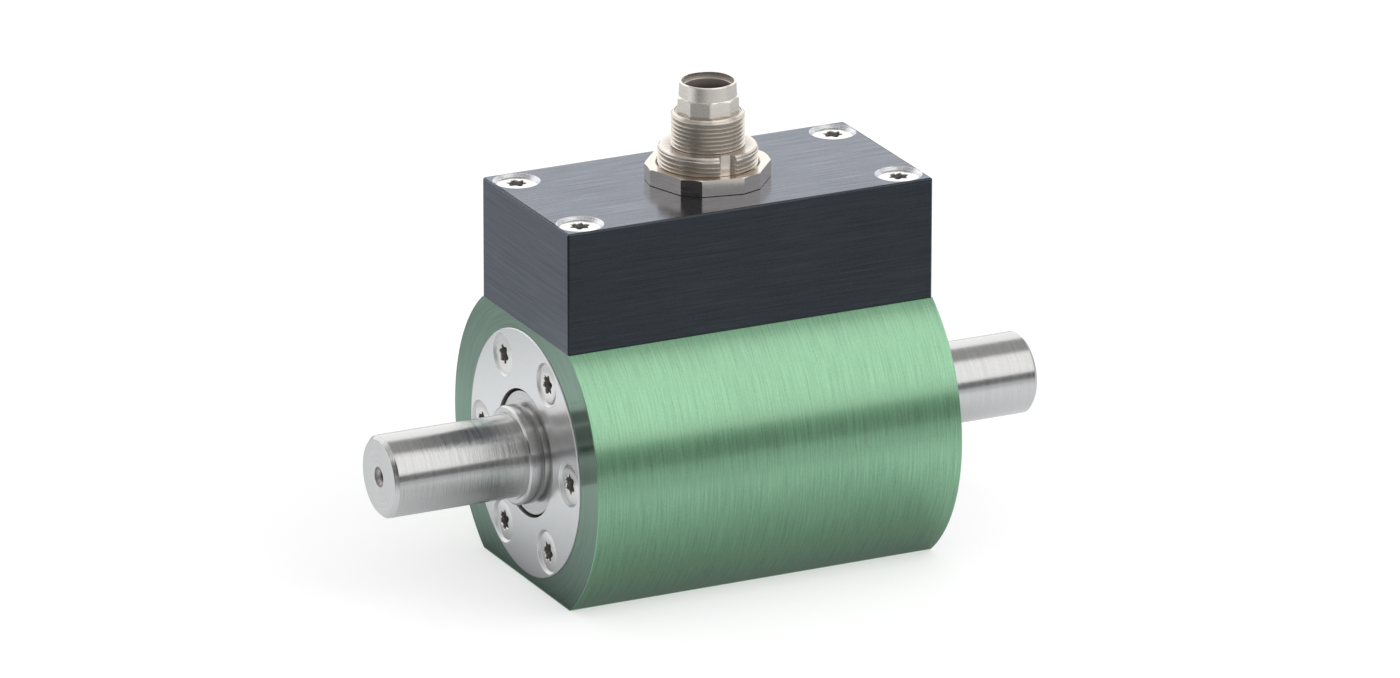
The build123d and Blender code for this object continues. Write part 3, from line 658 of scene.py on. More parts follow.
def make_finishes():
    """Every material by the name of its slot."""
    colours = settings("colours")
    metal(
        "green_anodised",
        colours.green,
        0.3,
        turned_lines(SHAFT, 3400.0, 110.0),
        0.3 * MICRON,
        tone=0.19,
        spread=0.05,
        patch=(end_faces, colours.green_face, 0.1, 0.6),
        coat=(0.92, 0.08),
        seam=beside_covers,
        Coat_Roughness=0.12,
        Coat_IOR=1.6,
    )
    metal(
        "black_anodised",
        colours.black,
        0.2,
        brushed_lines(5400.0, 70.0),
        0.4 * MICRON,
        tone=0.3,
        spread=0.08,
        patch=(countersinks, BARE_METAL, 0.35, 0.0),
        coat=(0.86, 0.5),
        Coat_Roughness=0.15,
        Coat_IOR=1.55,
        Specular_Tint=(0.84, 0.88, 1.0),
    )
    metal(
        "cover_metal",
        colours.disc,
        0.2,
        turned_lines(SHAFT, 3000.0, 80.0),
        0.3 * MICRON,
        tone=0.03,
        spread=0.04,
        patch=(off_the_face, colours.disc, 0.45, 0.0),
    )
    metal("shaft_steel", colours.steel, 0.19, turned_lines(SHAFT, 6400.0, 60.0), 30 * MICRON, tone=0.1)
    metal("screw_steel", colours.screw, 0.16, blasted(1500.0), 0.6 * MICRON)
    metal(
        "connector_nickel",
        colours.nickel,
        0.2,
        turned_lines(UPRIGHT, 2400.0, 100.0),
        0.5 * MICRON,
        patch=(above_shell, SATIN_NICKEL, 0.25, 1.0),
    )
    metal("bearing_steel", (0.6, 0.6, 0.61), 0.14, turned_lines(SHAFT, 2600.0, 150.0), 0.5 * MICRON)
    metal("cage_brass", (0.72, 0.5, 0.2), 0.3, turned_lines(SHAFT, 1800.0, 200.0), 2 * MICRON)
    metal("spring_steel", (0.3, 0.29, 0.3), 0.35, turned_lines(SHAFT, 1800.0, 200.0), 2 * MICRON)
    metal("coil_copper", (0.75, 0.34, 0.16), 0.35, turned_lines(SHAFT, 1600.0, 60.0), 10 * MICRON)
    metal("gauge_foil", (0.7, 0.52, 0.3), 0.4, brushed_lines(1800.0, 400.0), 3 * MICRON)
    metal("pin_gold", (0.95, 0.7, 0.32), 0.2, blasted(3000.0), 0.5 * MICRON)
    plastic("circuit_board", (0.02, 0.16, 0.06), 0.4, 900.0, 30 * MICRON)
    plastic("chip_plastic", (0.025, 0.025, 0.028), 0.5, 2600.0, 10 * MICRON)
    plastic("seal_rubber", (0.02, 0.02, 0.021), 0.7, 1500.0, 20 * MICRON)
    plastic("wire_jacket", (0.5, 0.06, 0.04), 0.45, 800.0, 10 * MICRON)
    plastic("insert_plastic", (0.03, 0.03, 0.032), 0.45, 1800.0, 10 * MICRON)


def finish_of(slot):
    """The material of a slot, made by the first operator. The frame's own plain ones have the bare names."""
    return bpy.data.materials[slot + FINISH]


# Operators, one for each piece or group of like pieces


class SensorOperator(bpy.types.Operator):
    """Base of the part's operators, which run once on the loaded frame."""

    bl_options = {"REGISTER"}


class SENSOR_OT_finishes(SensorOperator):
    """Makes the materials and gives every CAD node its own."""

    bl_idname = "torque_sensor.finishes"
    bl_label = "Finishes"

    def execute(self, context):
        make_finishes()
        for part in frame["record"]["subparts"]:
            data = frame["nodes"][part["node"]].data
            data.materials.clear()
            data.materials.append(finish_of(part["material_slot"]))
        return {"FINISHED"}


# Just over the width of the housing's chamfer, and the share of it that is kept
CHAMFER = 0.41 * MM
CHAMFER_SHARE = 0.25

# How far the edges are broken
HOUSING_ROUNDING = 0.02 * MM
BOX_ROUNDING = 0.05 * MM
TURNED_ROUNDING = 0.06 * MM
DISC_CHAMFER = 0.18 * MM

# How near a corner is to the edge of a disc's face to count as on it
TOUCH = 0.01 * MM


class SENSOR_OT_housing(SensorOperator):
    """The green round bar with its two flats, and its edges broken."""

    bl_idname = "torque_sensor.housing"
    bl_label = "Housing"

    def sharpen(self, mesh):
        """Draws the chamfer around both end faces out towards its corner, to a fine broken edge."""
        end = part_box("housing")[1].x
        radius = max((vert.co - ON_AXIS).yz.length for vert in mesh.verts)
        for vert in mesh.verts:
            inward = end - abs(vert.co.x)
            short = radius - (vert.co - ON_AXIS).yz.length
            if inward < CHAMFER and short < CHAMFER:
                reach = radius - short * CHAMFER_SHARE
                level = vert.co.z - AXIS_HEIGHT
                vert.co.y = math.copysign((reach * reach - level * level) ** 0.5, vert.co.y)
                vert.co.x = math.copysign(end - inward * CHAMFER_SHARE, vert.co.x)
        return mesh

    def execute(self, context):
        mesh = round_edges(self.sharpen(merged_copy("housing")), HOUSING_ROUNDING)
        finish_piece("housing_bar", mesh, "green_anodised", "housing", "housing")
        return {"FINISHED"}


class SENSOR_OT_end_covers(SensorOperator):
    """The two bright discs with their countersunk holes."""

    bl_idname = "torque_sensor.end_covers"
    bl_label = "End covers"

    def chamfer_rim(self, mesh, node):
        """Chamfers the outer edge of a disc's face."""
        face = span(node)[1] - TOUCH
        rim = rise(node) - TOUCH
        edges = [
            edge
            for edge in mesh.edges
            if all(abs(vert.co.x) > face and (vert.co - ON_AXIS).yz.length > rim for vert in edge.verts)
        ]
        bevel(mesh, edges, DISC_CHAMFER, 1)

    def execute(self, context):
        for side in SIDES:
            node = side + "_end_cover"
            mesh = merged_copy(node)
            self.chamfer_rim(mesh, node)
            round_edges(mesh, TURNED_ROUNDING)
            finish_piece(side + "_cover_disc", mesh, "cover_metal", "housing", node)
        return {"FINISHED"}


SOCKET_LOBES = 6
END_SCREWS = 6
# How much darker the end screws' faces are made
END_SCREW_FACE_DARKENING = 0.1

# How much further each screw is turned than the one before, in radians
END_SCREW_SPIN = 0.4
BOX_SCREW_SPIN = 0.5

# Where the painted shade in a socket gets dark, in widths of its chamfer, and the fall of a head's chamfer as
# a share of its width
DARK_SOCKET = 6
EDGE_FALL = 0.4


def screw_mesh(depth, face_darkening=0.0):
    """A countersunk screw along Z with its head's face at zero, with painted shade in its socket. Its face
    may be made a little darker.
    """
    sizes = settings("screws")
    mean = (sizes.socket_radius + sizes.socket_waist) / 2
    swing = (sizes.socket_radius - sizes.socket_waist) / 2

    def lobes(angle):
        return mean + swing * math.cos(SOCKET_LOBES * angle)

    def mouth(angle):
        return lobes(angle) + sizes.socket_mouth

    head = sizes.head_radius
    # The socket gets painted shade, darkest at its bottom; the face takes the given darkening
    rings = [
        (-sizes.socket_depth, lobes, 1.0),
        (-DARK_SOCKET * sizes.socket_mouth, lobes, 0.5),
        (-sizes.socket_mouth, lobes, 0.15),
        (0.0, mouth, face_darkening),
        (0.0, head - sizes.head_edge, face_darkening),
        (-EDGE_FALL * sizes.head_edge, head, face_darkening),
        (sizes.shank_radius - head, sizes.shank_radius),
        (-depth, sizes.shank_radius),
    ]
    return ring_stack(rings, capped=True, steps=SCREW_STEPS)


class SENSOR_OT_end_screws(SensorOperator):
    """The six screws of each end cover."""

    bl_idname = "torque_sensor.end_screws"
    bl_label = "End cover screws"

    def execute(self, context):
        sizes = settings("screws")
        for name, side in SIDES.items():
            face = span(name + "_end_cover")[1] - sizes.end_sink
            screws = []
            for number in range(END_SCREWS):
                angle = 2 * math.pi * number / END_SCREWS
                across = Vector((0.0, math.cos(angle), math.sin(angle))) * sizes.circle_radius
                mesh = screw_mesh(sizes.end_length, END_SCREW_FACE_DARKENING)
                spin = Matrix.Rotation(angle + END_SCREW_SPIN * number, 4, "Z")
                bmesh.ops.transform(mesh, matrix=spin, verts=mesh.verts)
                screws.append(along_x(mesh, side, ON_AXIS + across + Vector((side * face, 0.0, 0.0))))
            finish_piece(name + "_disc_screws", join(screws), "screw_steel", "housing", name + "_end_screws")
        return {"FINISHED"}


class SENSOR_OT_cover_screws(SensorOperator):
    """The four screws of the electronics box."""

    bl_idname = "torque_sensor.cover_screws"
    bl_label = "Box screws"

    def execute(self, context):
        sizes = settings("screws")
        low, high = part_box("electronics_cover")
        face = COVER_TOP - sizes.box_sink
        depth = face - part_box("cover_screws")[0].z
        screws = []
        for x in (low.x + sizes.inset_x, high.x - sizes.inset_x):
            for y in (low.y + sizes.inset_y, high.y - sizes.inset_y):
                mesh = screw_mesh(depth)
                spin = Matrix.Rotation(BOX_SCREW_SPIN * len(screws), 4, "Z")
                place = Matrix.Translation((x, y, face))
                bmesh.ops.transform(mesh, matrix=place @ spin, verts=mesh.verts)
                screws.append(mesh)
        finish_piece("box_screws", join(screws), "screw_steel", "housing", "cover_screws")
        return {"FINISHED"}


# Depths in the centre hole's cone where its painted shade is light, as a share of the cone, and where it is
# dark
CONE_SHARE = 0.6
CONE_RIM = 0.1 * MM


class SENSOR_OT_shaft(SensorOperator):
    """The measuring shaft, with its square torsion part inside."""

    bl_idname = "torque_sensor.shaft"
    bl_label = "Shaft"

    def half(self, name, side, end):
        """The rings of one half, from the centre hole in its end to the square part."""
        sizes = settings("shaft")
        cone = sizes.cone_radius - sizes.hole_radius
        near, far = span(name + "_bearing_inner_ring")
        boards = flats(sizes.collar_radius, sizes.board_flat, 2)
        # The centre hole and its cone get painted shade
        from_end = [
            (sizes.hole_depth, sizes.hole_radius, 1.0),
            (cone + sizes.hole_radius, sizes.hole_radius, 1.0),
            (cone, sizes.hole_radius, 1.0),
            (CONE_SHARE * cone, sizes.cone_radius - CONE_SHARE * cone, 0.25),
            (CONE_RIM, sizes.cone_radius - CONE_RIM, 0.75),
            (0.0, sizes.cone_radius),
            (0.0, sizes.radius - sizes.end_chamfer),
            (sizes.end_chamfer, sizes.radius),
        ]
        from_middle = [
            (sizes.seat_end, sizes.radius),
            (sizes.seat_end, sizes.seat_radius),
            (far, sizes.seat_radius),
            (far, sizes.bearing_radius),
            (near, sizes.bearing_radius),
            (near, sizes.coil_radius),
            (sizes.collar_end, sizes.coil_radius),
            (sizes.collar_end, boards),
            (sizes.collar_start, boards),
            (sizes.collar_start, flats(sizes.torsion_radius, sizes.torsion_flat, 4)),
        ]
        rings = [(end - side * depth, *rest) for depth, *rest in from_end]
        return rings + [(side * place, *rest) for place, *rest in from_middle]

    def execute(self, context):
        low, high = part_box("shaft")
        rings = self.half("test", -1, low.x) + self.half("drive", 1, high.x)[::-1]
        mesh = round_edges(along_x(ring_stack(rings, capped=True)), TURNED_ROUNDING)
        finish_piece("measuring_shaft", mesh, "shaft_steel", "rotor", "shaft")
        return {"FINISHED"}


# How deep the light still reaches into the gap around a collar's disc
LIT_GAP = 0.2 * MM


class SENSOR_OT_collars(SensorOperator):
    """The two sealing collars on the shaft."""

    bl_idname = "torque_sensor.collars"
    bl_label = "Sealing collars"

    def execute(self, context):
        sizes = settings("shaft")
        for name, side in SIDES.items():
            node = name + "_collar"
            inner, outer = span(node)
            disc_face = span(name + "_end_cover")[1] - sizes.disc_sink
            disc_back = disc_face - sizes.disc_thickness
            disc_radius = rise(node)
            hub_end = outer - sizes.hub_length
            chamfer = sizes.hub_chamfer
            # The gap around the disc gets painted shade below the depth that light reaches
            rings = [
                (outer, sizes.seat_radius),
                (outer, sizes.hub_radius - chamfer),
                (outer - chamfer, sizes.hub_radius),
                (hub_end + chamfer, sizes.hub_radius),
                (hub_end, sizes.hub_radius - chamfer),
                (hub_end, sizes.neck_radius),
                (disc_face, sizes.neck_radius),
                (disc_face, disc_radius),
                (disc_face - LIT_GAP, disc_radius, 1.0),
                (disc_back, disc_radius, 1.0),
                (disc_back, sizes.nose_radius, 1.0),
                (inner, sizes.nose_radius, 1.0),
                (inner, sizes.seat_radius),
                (outer, sizes.seat_radius),
            ]
            mesh = round_edges(along_x(ring_stack(rings), side), TURNED_ROUNDING)
            finish_piece(name + "_seal_collar", mesh, "shaft_steel", "rotor", node)
        return {"FINISHED"}


class SENSOR_OT_electronics_box(SensorOperator):
    """The black box, with its edges broken."""

    bl_idname = "torque_sensor.electronics_box"
    bl_label = "Electronics box"

    def execute(self, context):
        mesh = round_edges(merged_copy("electronics_cover"), BOX_ROUNDING)
        finish_piece("electronics_box", mesh, "black_anodised", "housing", "electronics_cover")
        return {"FINISHED"}


# Places on a thread's profile, as shares of its pitch: where its groove and its crest start and end
GROOVE = (0.0, 0.12)
CREST = (0.5, 0.62)
LAST_GROOVE = (0.0, 0.2)
LAST_CREST = (0.7, 0.9)
LIP_START = 1.1

# The least share of a pitch at a thread's foot that gets a ridge of its own
LEAST_RIDGE = 0.4

# Painted shade in the thread's roots and under its lip
THREAD_ROOT_SHADE = 0.5
LIP_SHADE = 0.25

# How far the wide thread goes on under the box's top
HIDDEN_THREAD = 1.5 * MM

# The flange and the ledge at the shell's foot, and the play between the connector's pieces
FLANGE_THICKNESS = 2.0 * MM
LEDGE_WIDTH = 0.6 * MM
LEDGE_HEIGHT = 1.0 * MM
FIT = 0.05 * MM

# Where the key slot is, how flat its floor is, and its painted shade in the middle and towards its sides
SLOT_TURN = math.radians(-92.0)
SLOT_POWER = 7
SLOT_SHADE = 0.1
SLOT_SIDE_SHADE = 0.35


def thread_rings(bottom, foot, radius):
    """Ridges of a fine thread on a round, from the bottom up to the foot of a lip with a last crest."""
    sizes = settings("connector")
    pitch = sizes.pitch
    root = radius - sizes.thread_depth
    count = math.ceil((foot - bottom) / pitch - LEAST_RIDGE)
    rings = []
    for number in range(count):
        low = foot + (number - count) * pitch
        rings += [(max(low + share * pitch, bottom), root, THREAD_ROOT_SHADE) for share in GROOVE]
        rings += [(low + share * pitch, radius) for share in CREST]
    rings += [(foot + share * pitch, root, THREAD_ROOT_SHADE) for share in LAST_GROOVE]
    rings += [(foot + share * pitch, radius) for share in LAST_CREST]
    rings.append((foot + LIP_START * pitch, radius - sizes.lip_sink, LIP_SHADE))
    return rings


class SENSOR_OT_connector_shell(SensorOperator):
    """The nickel-plated shell with its two threaded steps and key slot."""

    bl_idname = "torque_sensor.connector_shell"
    bl_label = "Connector shell"

    def execute(self, context):
        sizes = settings("connector")
        low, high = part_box("connector_shell")
        step = COVER_TOP + sizes.thread_top
        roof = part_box("connector_seal")[1].z
        flange_bottom = roof - FLANGE_THICKNESS
        nut_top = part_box("connector_nut")[1].z
        slot_half = math.asin(sizes.slot_width / 2 / sizes.thread_radius)
        lower_lip = sizes.thread_radius - sizes.lip_sink
        upper_lip = sizes.upper_radius - sizes.lip_sink
        ledge_radius = sizes.bore_radius - LEDGE_WIDTH
        edge = sizes.edge

        def across_slot(angle):
            turn = (angle - SLOT_TURN + math.pi) % (2 * math.pi) - math.pi
            return min(abs(turn) / slot_half, 1.0)

        def slotted(radius):
            def outline(angle):
                hollow = (1 - across_slot(angle) ** SLOT_POWER) ** 0.5
                return min(radius, sizes.thread_radius - sizes.slot_depth * hollow) if hollow else radius

            return outline

        # Painted shade in the key slot, darker towards its sides
        def with_slot_shade(grime):
            def shade(angle):
                across = across_slot(angle)
                return SLOT_SHADE + SLOT_SIDE_SHADE * across**4 if across < 1.0 else grime

            return shade

        # The third numbers are painted shade on the edges, the lip and in the bore
        rings = [
            (low.z, ledge_radius),
            (low.z, sizes.thread_radius),
            (flange_bottom, sizes.thread_radius),
            (flange_bottom, sizes.flange_radius),
            (roof, sizes.flange_radius),
            (roof, sizes.thread_radius - sizes.thread_depth),
        ]
        lower = thread_rings(COVER_TOP - HIDDEN_THREAD, step - sizes.lower_lip, sizes.thread_radius)
        for height, radius, *grime in lower:
            value = grime[0] if grime else 0.0
            if height > nut_top:
                rings.append((height, slotted(radius), with_slot_shade(value)))
            else:
                rings.append((height, radius, value))
        rings += [
            (step - edge, slotted(lower_lip), with_slot_shade(0.2)),
            (step, slotted(lower_lip - edge)),
            (step, sizes.upper_radius - sizes.thread_depth, 0.3),
        ]
        rings += thread_rings(step, high.z - sizes.upper_lip, sizes.upper_radius)
        rings += [
            (high.z - edge, upper_lip, 0.2),
            (high.z, upper_lip - edge),
            (high.z, sizes.bore_radius),
            (high.z - edge, sizes.bore_radius, 0.6),
            (low.z + LEDGE_HEIGHT, sizes.bore_radius, 1.0),
            (low.z + LEDGE_HEIGHT, ledge_radius),
            (low.z, ledge_radius),
        ]
        mesh = ring_stack(rings, steps=FINE_TURN_STEPS)
        finish_piece("threaded_shell", mesh, "connector_nickel", "housing", "connector_shell")
        return {"FINISHED"}


# The nut has six flats and six cut corners; half of the angle that each of them spans, and its turn
NUT_SIDES = 6
NUT_HALF_FLAT = math.radians(20.0)
NUT_HALF_CUT = math.radians(10.0)
NUT_TURN = math.radians(-11.0)
NUT_MOUTH = 0.35 * MM


class SENSOR_OT_connector_nut(SensorOperator):
    """The flat nut with cut corners."""

    bl_idname = "torque_sensor.connector_nut"
    bl_label = "Connector nut"

    def execute(self, context):
        sizes = settings("connector")
        low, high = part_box("connector_nut")
        corner = sizes.nut_corner_radius
        sides = flats(corner, corner * math.cos(NUT_HALF_FLAT), NUT_SIDES, math.pi / NUT_SIDES)
        cuts = flats(corner, corner * math.cos(NUT_HALF_CUT), NUT_SIDES)
        limit = corner - sizes.nut_chamfer

        def outline(angle):
            return min(sides(angle), cuts(angle))

        def chamfered(angle):
            return min(outline(angle), limit)

        def shoulder(angle):
            return high.z - max(outline(angle) - limit, 0.0)

        def foot(angle):
            return outline(angle) - sizes.nut_chamfer / 2

        bore = sizes.thread_radius + FIT
        # The foot gets painted shade where the nut meets the box
        rings = [
            (low.z, bore),
            (low.z, foot, 0.45),
            (low.z + sizes.nut_chamfer / 2, outline),
            (shoulder, outline),
            (high.z, chamfered),
            (high.z, bore + NUT_MOUTH),
            (high.z - NUT_MOUTH, bore),
            (low.z, bore),
        ]
        mesh = ring_stack(rings)
        bmesh.ops.transform(mesh, matrix=Matrix.Rotation(NUT_TURN, 4, "Z"), verts=mesh.verts)
        finish_piece("panel_nut", mesh, "connector_nickel", "housing", "connector_nut")
        return {"FINISHED"}


# The sleeve's facets, small edges and the depth to which light reaches into it
FACETS = 9
FACET_TURN = math.radians(-91.0)
RING_FOOT = 0.1 * MM
MOUTH_EDGE = 0.06 * MM
BORE_EDGE = 0.1 * MM
LIT_DEPTH = 1.5 * MM


class SENSOR_OT_connector_sleeve(SensorOperator):
    """The sleeve with its faceted part and plain rim."""

    bl_idname = "torque_sensor.connector_sleeve"
    bl_label = "Connector sleeve"

    def execute(self, context):
        sizes = settings("connector")
        low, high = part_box("connector_sleeve")
        shell_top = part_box("connector_shell")[1].z
        root = sizes.bore_radius - FIT
        corner = sizes.ring_radius
        facets = flats(corner, corner * math.cos(math.pi / FACETS), FACETS, FACET_TURN)
        rim_bottom = shell_top + sizes.ring_height + sizes.cone_height
        rim = sizes.rim_radius
        rim_top = rim - sizes.rim_taper
        slope = sizes.cone_height / (corner - rim)
        ledge = high.z - sizes.mouth_depth

        def facet_top(angle):
            return rim_bottom - slope * (facets(angle) - rim)

        # The third numbers are painted shade, darkest in the bore below where light reaches
        rings = [
            (low.z, sizes.sleeve_bore, 1.0),
            (low.z, root, 1.0),
            (shell_top - RING_FOOT, root, 0.35),
            (shell_top - RING_FOOT, facets, 0.45),
            (shell_top, facets, 0.1),
            (facet_top, facets),
            (rim_bottom, rim),
            (high.z - sizes.rim_edge, rim_top),
            (high.z, rim_top - sizes.rim_edge),
            (high.z, sizes.mouth_radius + MOUTH_EDGE),
            (high.z - MOUTH_EDGE, sizes.mouth_radius),
            (ledge, sizes.mouth_radius, 0.55),
            (ledge, sizes.sleeve_bore + BORE_EDGE, 0.2),
            (ledge - BORE_EDGE, sizes.sleeve_bore, 0.6),
            (ledge - LIT_DEPTH, sizes.sleeve_bore, 0.9),
            (low.z, sizes.sleeve_bore, 1.0),
        ]
        finish_piece("socket_sleeve", ring_stack(rings), "connector_nickel", "housing", "connector_sleeve")
        return {"FINISHED"}


# Circles of pins, each with its count and radius
PIN_CIRCLES = ((3, 1.2 * MM), (8, 2.9 * MM))

# Height of a pin's tip as a share of the pin's radius, and the tip's profile: shares of both from its foot up
TIP_SHARE = 0.6
TIP_PROFILE = ((1.0, 1.0), (0.4, 0.85), (0.0, 0.4))


class SENSOR_OT_contact_pins(SensorOperator):
    """The gold pins in their two circles, with rounded tips."""

    bl_idname = "torque_sensor.contact_pins"
    bl_label = "Contact pins"

    def execute(self, context):
        radius = settings("connector").pin_radius
        low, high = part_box("connector_pins")
        tip = TIP_SHARE * radius
        rings = [(low.z, radius)] + [(high.z - part * tip, share * radius) for part, share in TIP_PROFILE]
        pins = []
        for count, circle in PIN_CIRCLES:
            for number in range(count):
                angle = 2 * math.pi * number / count
                mesh = ring_stack(rings, capped=True, steps=PIN_STEPS)
                place = Vector((circle * math.cos(angle), circle * math.sin(angle), 0.0))
                bmesh.ops.translate(mesh, vec=place, verts=mesh.verts)
                pins.append(mesh)
        finish_piece("contact_pins", join(pins), "pin_gold", "housing", "connector_pins")
        return {"FINISHED"}


# Stage

FLOOR_SIZE = (16.0, 16.0)
FLOOR_CLOUDS = 3.0
FLOOR_COLOURS = ((0.6, 0.6, 0.6), (0.64, 0.64, 0.64))
FLOOR_GLOW = 0.5

# The sheet on the floor that paints shade into the metal's reflections: its colour and height, and the part's
# painted shade on it with its reach along X and Y
SHADE_SHEET_COLOUR = (0.96, 0.985, 1.0)
SHADE_SHEET_HEIGHT = 0.2 * MM
SHADE = 0.7
SHADE_REACH_X = 13.0 * MM
SHADE_REACH_Y = 45.0 * MM

# Its painted shade grows again along Y from a distance on, by so much per metre up to a limit
FAR_START = 0.09
FAR_SLOPE = 8.0
FAR_LIMIT = 0.3

# Two directions, as X and Y, in which it paints more shade, each with how much: that grows from a distance
# on by so much per metre, and a higher power makes both narrower
SHADY_SIDES = ((-0.88, -0.475, 0.62), (1.0, 0.0, 0.45))
SIDES_START = 0.1
SIDES_SLOPE = 10.0
SIDES_POWER = 6.0

# The softbox hangs in front of the part, to its right, and looks down on it
SOFTBOX_SIZE = (1.9, 1.5)
SOFTBOX_DISTANCE = 1.5
SOFTBOX_ASIDE = 0.95
SOFTBOX_TILT = math.radians(45.5)
BEHIND = 0.01

# Grey sheets that only reflections show: beside the softbox, to the left of the part, and three more
SIDE_FLAG_WIDTH = 1.1
SIDE_FLAG_VALUE = 0.3
LEFT_FLAG_SIZE = (0.95, 0.8)
LEFT_FLAG_PLACE = Vector((-1.288, -0.573, 0.513))
LEFT_FLAG_VALUE = 0.07
FLAGS = (
    ("skirt", (3.6, 0.19), (0.0, 1.0, 0.0), (0.0, -0.6, 0.095), 0.18),
    ("back_panel", (3.2, 1.8), (0.0, -1.0, 0.0), (0.4, 1.4, 0.95), 1.25),
    ("ceiling", (4.6, 1.5), (0.0, 0.0, -1.0), (0.0, 0.4, 1.72), 0.4),
)

SENSOR_WIDTH = 36.0
CLIP_END = 60.0


def plane(name, size, matrix, material):
    """A flat sheet of the stage."""
    mesh = bmesh.new()
    bmesh.ops.create_grid(mesh, x_segments=1, y_segments=1, size=0.5)
    bmesh.ops.transform(mesh, matrix=matrix @ Matrix.Diagonal((*size, 1.0, 1.0)), verts=mesh.verts)
    sheet = make_object(name, mesh, material)
    return sheet


def facing(direction, place):
    """A matrix that turns a sheet's front towards the direction and moves it."""
    return Matrix.Translation(place) @ Vector(direction).to_track_quat("Z", "Y").to_matrix().to_4x4()


def seen_as_backdrop(finish):
    """One for the rays that show the backdrop: camera, glossy and transmission."""
    path = finish.tree.nodes.new("ShaderNodeLightPath")
    camera, glossy, through = [
        Wire(finish, path.outputs[name])
        for name in ("Is Camera Ray", "Is Glossy Ray", "Is Transmission Ray")
    ]
    return camera.at_least(glossy.at_least(through))


def show_in_reflections_only(sheet):
    """Hides a sheet from the camera, the diffuse light and the shadows."""
    sheet.visible_camera = False
    sheet.visible_diffuse = False
    sheet.visible_shadow = False


def shade_sheet(name, size, matrix):
    """A grey sheet on the floor that only reflections see; it paints shade into them near the part and
    towards some sides.
    """
    finish = Finish.material(name)
    x, y = finish.place()[:2]
    beyond_x = (abs(x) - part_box("housing")[1].x).at_least(0.0)
    beyond_y = (abs(y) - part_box("electronics_cover")[1].y).at_least(0.0)
    near = finish.math("EXPONENT", beyond_x * (-1 / SHADE_REACH_X) + beyond_y * (-1 / SHADE_REACH_Y))
    far = ((abs(y) - FAR_START).at_least(0.0) * FAR_SLOPE).at_most(FAR_LIMIT)
    share = (1 - near * SHADE) * (1 - far) * settings("stage").floor_share
    reach = (x * x + y * y) ** 0.5
    away = ((reach - SIDES_START).at_least(0.0) * SIDES_SLOPE).at_most(1.0)
    for side_x, side_y, dark in SHADY_SIDES:
        cosine = (x * side_x + y * side_y) / reach
        share = share * (1 - cosine.at_least(0.0) ** SIDES_POWER * away * dark)
    reflection_shade = finish.node("ShaderNodeBsdfTransparent", inputs={0: finish.blend(share, BLACK, SHADE_SHEET_COLOUR)})
    finish.feed(finish.tree.nodes["Material Output"].inputs["Surface"], reflection_shade)
    show_in_reflections_only(plane(name, size, matrix, finish.data))


def flag(name, size, matrix, value):
    """A grey sheet that only reflections show."""
    finish = Finish.material(name)
    finish.set(
        Base_Color=BLACK,
        Roughness=1.0,
        Specular_IOR_Level=0.0,
        Emission_Color=(value, value, value),
        Emission_Strength=1.0,
    )
    show_in_reflections_only(plane(name, size, matrix, finish.data))


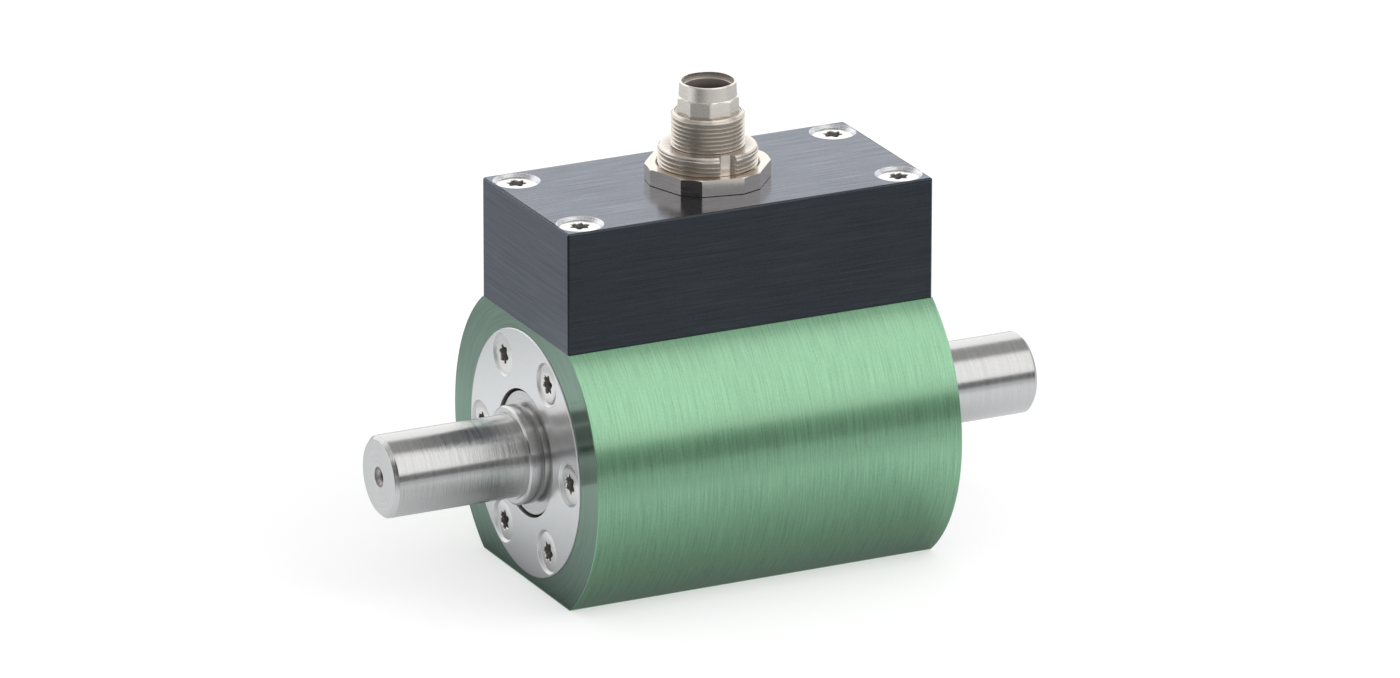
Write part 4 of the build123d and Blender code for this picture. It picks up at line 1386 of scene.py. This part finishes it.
class SENSOR_OT_stage(SensorOperator):
    """The floor, the light and the camera."""

    bl_idname = "torque_sensor.stage"
    bl_label = "Stage"

    def execute(self, context):
        scene = context.scene
        scene.view_settings.view_transform = "Standard"
        self.make_world(scene)
        self.make_floor()
        self.make_light(scene)
        self.make_camera(scene)
        return {"FINISHED"}

    def make_world(self, scene):
        """A white room that lights the part a little less than it shows."""
        world = bpy.data.worlds.new("studio")
        world.use_nodes = True
        scene.world = world
        finish = Finish(world.node_tree)
        shown = seen_as_backdrop(finish)
        background = world.node_tree.nodes["Background"]
        finish.feed(background.inputs["Color"], WHITE)
        finish.feed(background.inputs["Strength"], settings("stage").fill * (1 - shown) + shown)

    def make_floor(self):
        """White paper that takes the part's shadow."""
        finish = Finish.material("floor_paper")
        x, y, z = finish.place()
        cloud = finish.noise(x * FLOOR_CLOUDS, y * FLOOR_CLOUDS, z * FLOOR_CLOUDS)
        glow = seen_as_backdrop(finish) * FLOOR_GLOW
        finish.set(
            Base_Color=finish.blend(cloud, *FLOOR_COLOURS),
            Roughness=0.9,
            Specular_IOR_Level=0.0,
            Emission_Color=finish.blend(glow, BLACK, WHITE),
            Emission_Strength=1.0,
        )
        plane("floor", FLOOR_SIZE, Matrix.Identity(4), finish.data)
        shade_sheet("floor_net", FLOOR_SIZE, Matrix.Translation((0.0, 0.0, SHADE_SHEET_HEIGHT)))

    def make_light(self, scene):
        """One softbox, a dark sheet behind it, and the grey sheets that the metal mirrors."""
        width, height = SOFTBOX_SIZE
        ahead, down = math.cos(SOFTBOX_TILT), math.sin(SOFTBOX_TILT)
        direction = Vector((0.0, ahead, -down))
        place = Vector((SOFTBOX_ASIDE, -SOFTBOX_DISTANCE * ahead, SOFTBOX_DISTANCE * down))
        lamp = bpy.data.lights.new("softbox", "AREA")
        lamp.shape = "RECTANGLE"
        lamp.size, lamp.size_y = SOFTBOX_SIZE
        lamp.energy = settings("stage").softbox * math.pi * width * height
        light = bpy.data.objects.new("softbox", lamp)
        light.matrix_world = facing(-direction, place)
        light.visible_camera = False
        behind = place - BEHIND * direction
        left = behind - Vector(((width + SIDE_FLAG_WIDTH) / 2, 0.0, 0.0))
        flag("softbox_back", SOFTBOX_SIZE, facing(-direction, behind), 0.0)
        flag("side_flag", (SIDE_FLAG_WIDTH, height), facing(-direction, left), SIDE_FLAG_VALUE)
        flag("left_flag", LEFT_FLAG_SIZE, facing(-LEFT_FLAG_PLACE, LEFT_FLAG_PLACE), LEFT_FLAG_VALUE)
        scene.collection.objects.link(light)
        for name, size, front, centre, value in FLAGS:
            flag(name, size, facing(front, centre), value)

    def make_camera(self, scene):
        """A camera far away with a long lens, which looks down on the part."""
        stage = settings("stage")
        azimuth, elevation = stage.azimuth, stage.elevation
        back = Vector(
            (
                math.sin(azimuth) * math.cos(elevation),
                -math.cos(azimuth) * math.cos(elevation),
                math.sin(elevation),
            )
        )
        right = Vector((0.0, 0.0, 1.0)).cross(back).normalized()
        level = Matrix((right, back.cross(right), back)).transposed()
        turned = level @ Matrix.Rotation(stage.roll, 3, "Z")
        place = ON_AXIS + turned @ Vector((-stage.aside, stage.above, stage.distance))
        data = bpy.data.cameras.new("camera")
        data.sensor_width = SENSOR_WIDTH
        data.sensor_fit = "HORIZONTAL"
        data.lens = stage.lens
        data.clip_end = CLIP_END
        camera = bpy.data.objects.new("camera", data)
        camera.matrix_world = Matrix.Translation(place) @ turned.to_4x4()
        scene.collection.objects.link(camera)
        scene.camera = camera


OPERATORS = (
    SENSOR_OT_finishes,
    SENSOR_OT_housing,
    SENSOR_OT_end_covers,
    SENSOR_OT_end_screws,
    SENSOR_OT_shaft,
    SENSOR_OT_collars,
    SENSOR_OT_electronics_box,
    SENSOR_OT_cover_screws,
    SENSOR_OT_connector_shell,
    SENSOR_OT_connector_nut,
    SENSOR_OT_connector_sleeve,
    SENSOR_OT_contact_pins,
    SENSOR_OT_stage,
)


class SENSOR_PT_sidebar(bpy.types.Panel):
    """Lists the part's operators in the 3D view's sidebar."""

    bl_idname = "SENSOR_PT_sidebar"
    bl_label = "Torque sensor"
    bl_space_type = "VIEW_3D"
    bl_region_type = "UI"
    bl_category = "Torque sensor"

    def draw(self, context):
        for operator in OPERATORS:
            self.layout.operator(operator.bl_idname)


GROUPS = {
    "shaft": ShaftSizes,
    "screws": ScrewSizes,
    "connector": ConnectorSizes,
    "colours": FinishColours,
    "stage": StageSettings,
}


def register():
    for name, group in GROUPS.items():
        bpy.utils.register_class(group)
        setattr(bpy.types.Scene, "torque_sensor_" + name, bpy.props.PointerProperty(type=group))
    for operator in OPERATORS:
        bpy.utils.register_class(operator)
    bpy.utils.register_class(SENSOR_PT_sidebar)


def unregister():
    bpy.utils.unregister_class(SENSOR_PT_sidebar)
    for operator in reversed(OPERATORS):
        bpy.utils.unregister_class(operator)
    for name, group in reversed(GROUPS.items()):
        delattr(bpy.types.Scene, "torque_sensor_" + name)
        bpy.utils.unregister_class(group)


def main():
    """Builds every piece and the stage."""
    register()
    for operator in OPERATORS:
        family, name = operator.bl_idname.split(".")
        getattr(getattr(bpy.ops, family), name)()


if __name__ == "__main__":
    main()
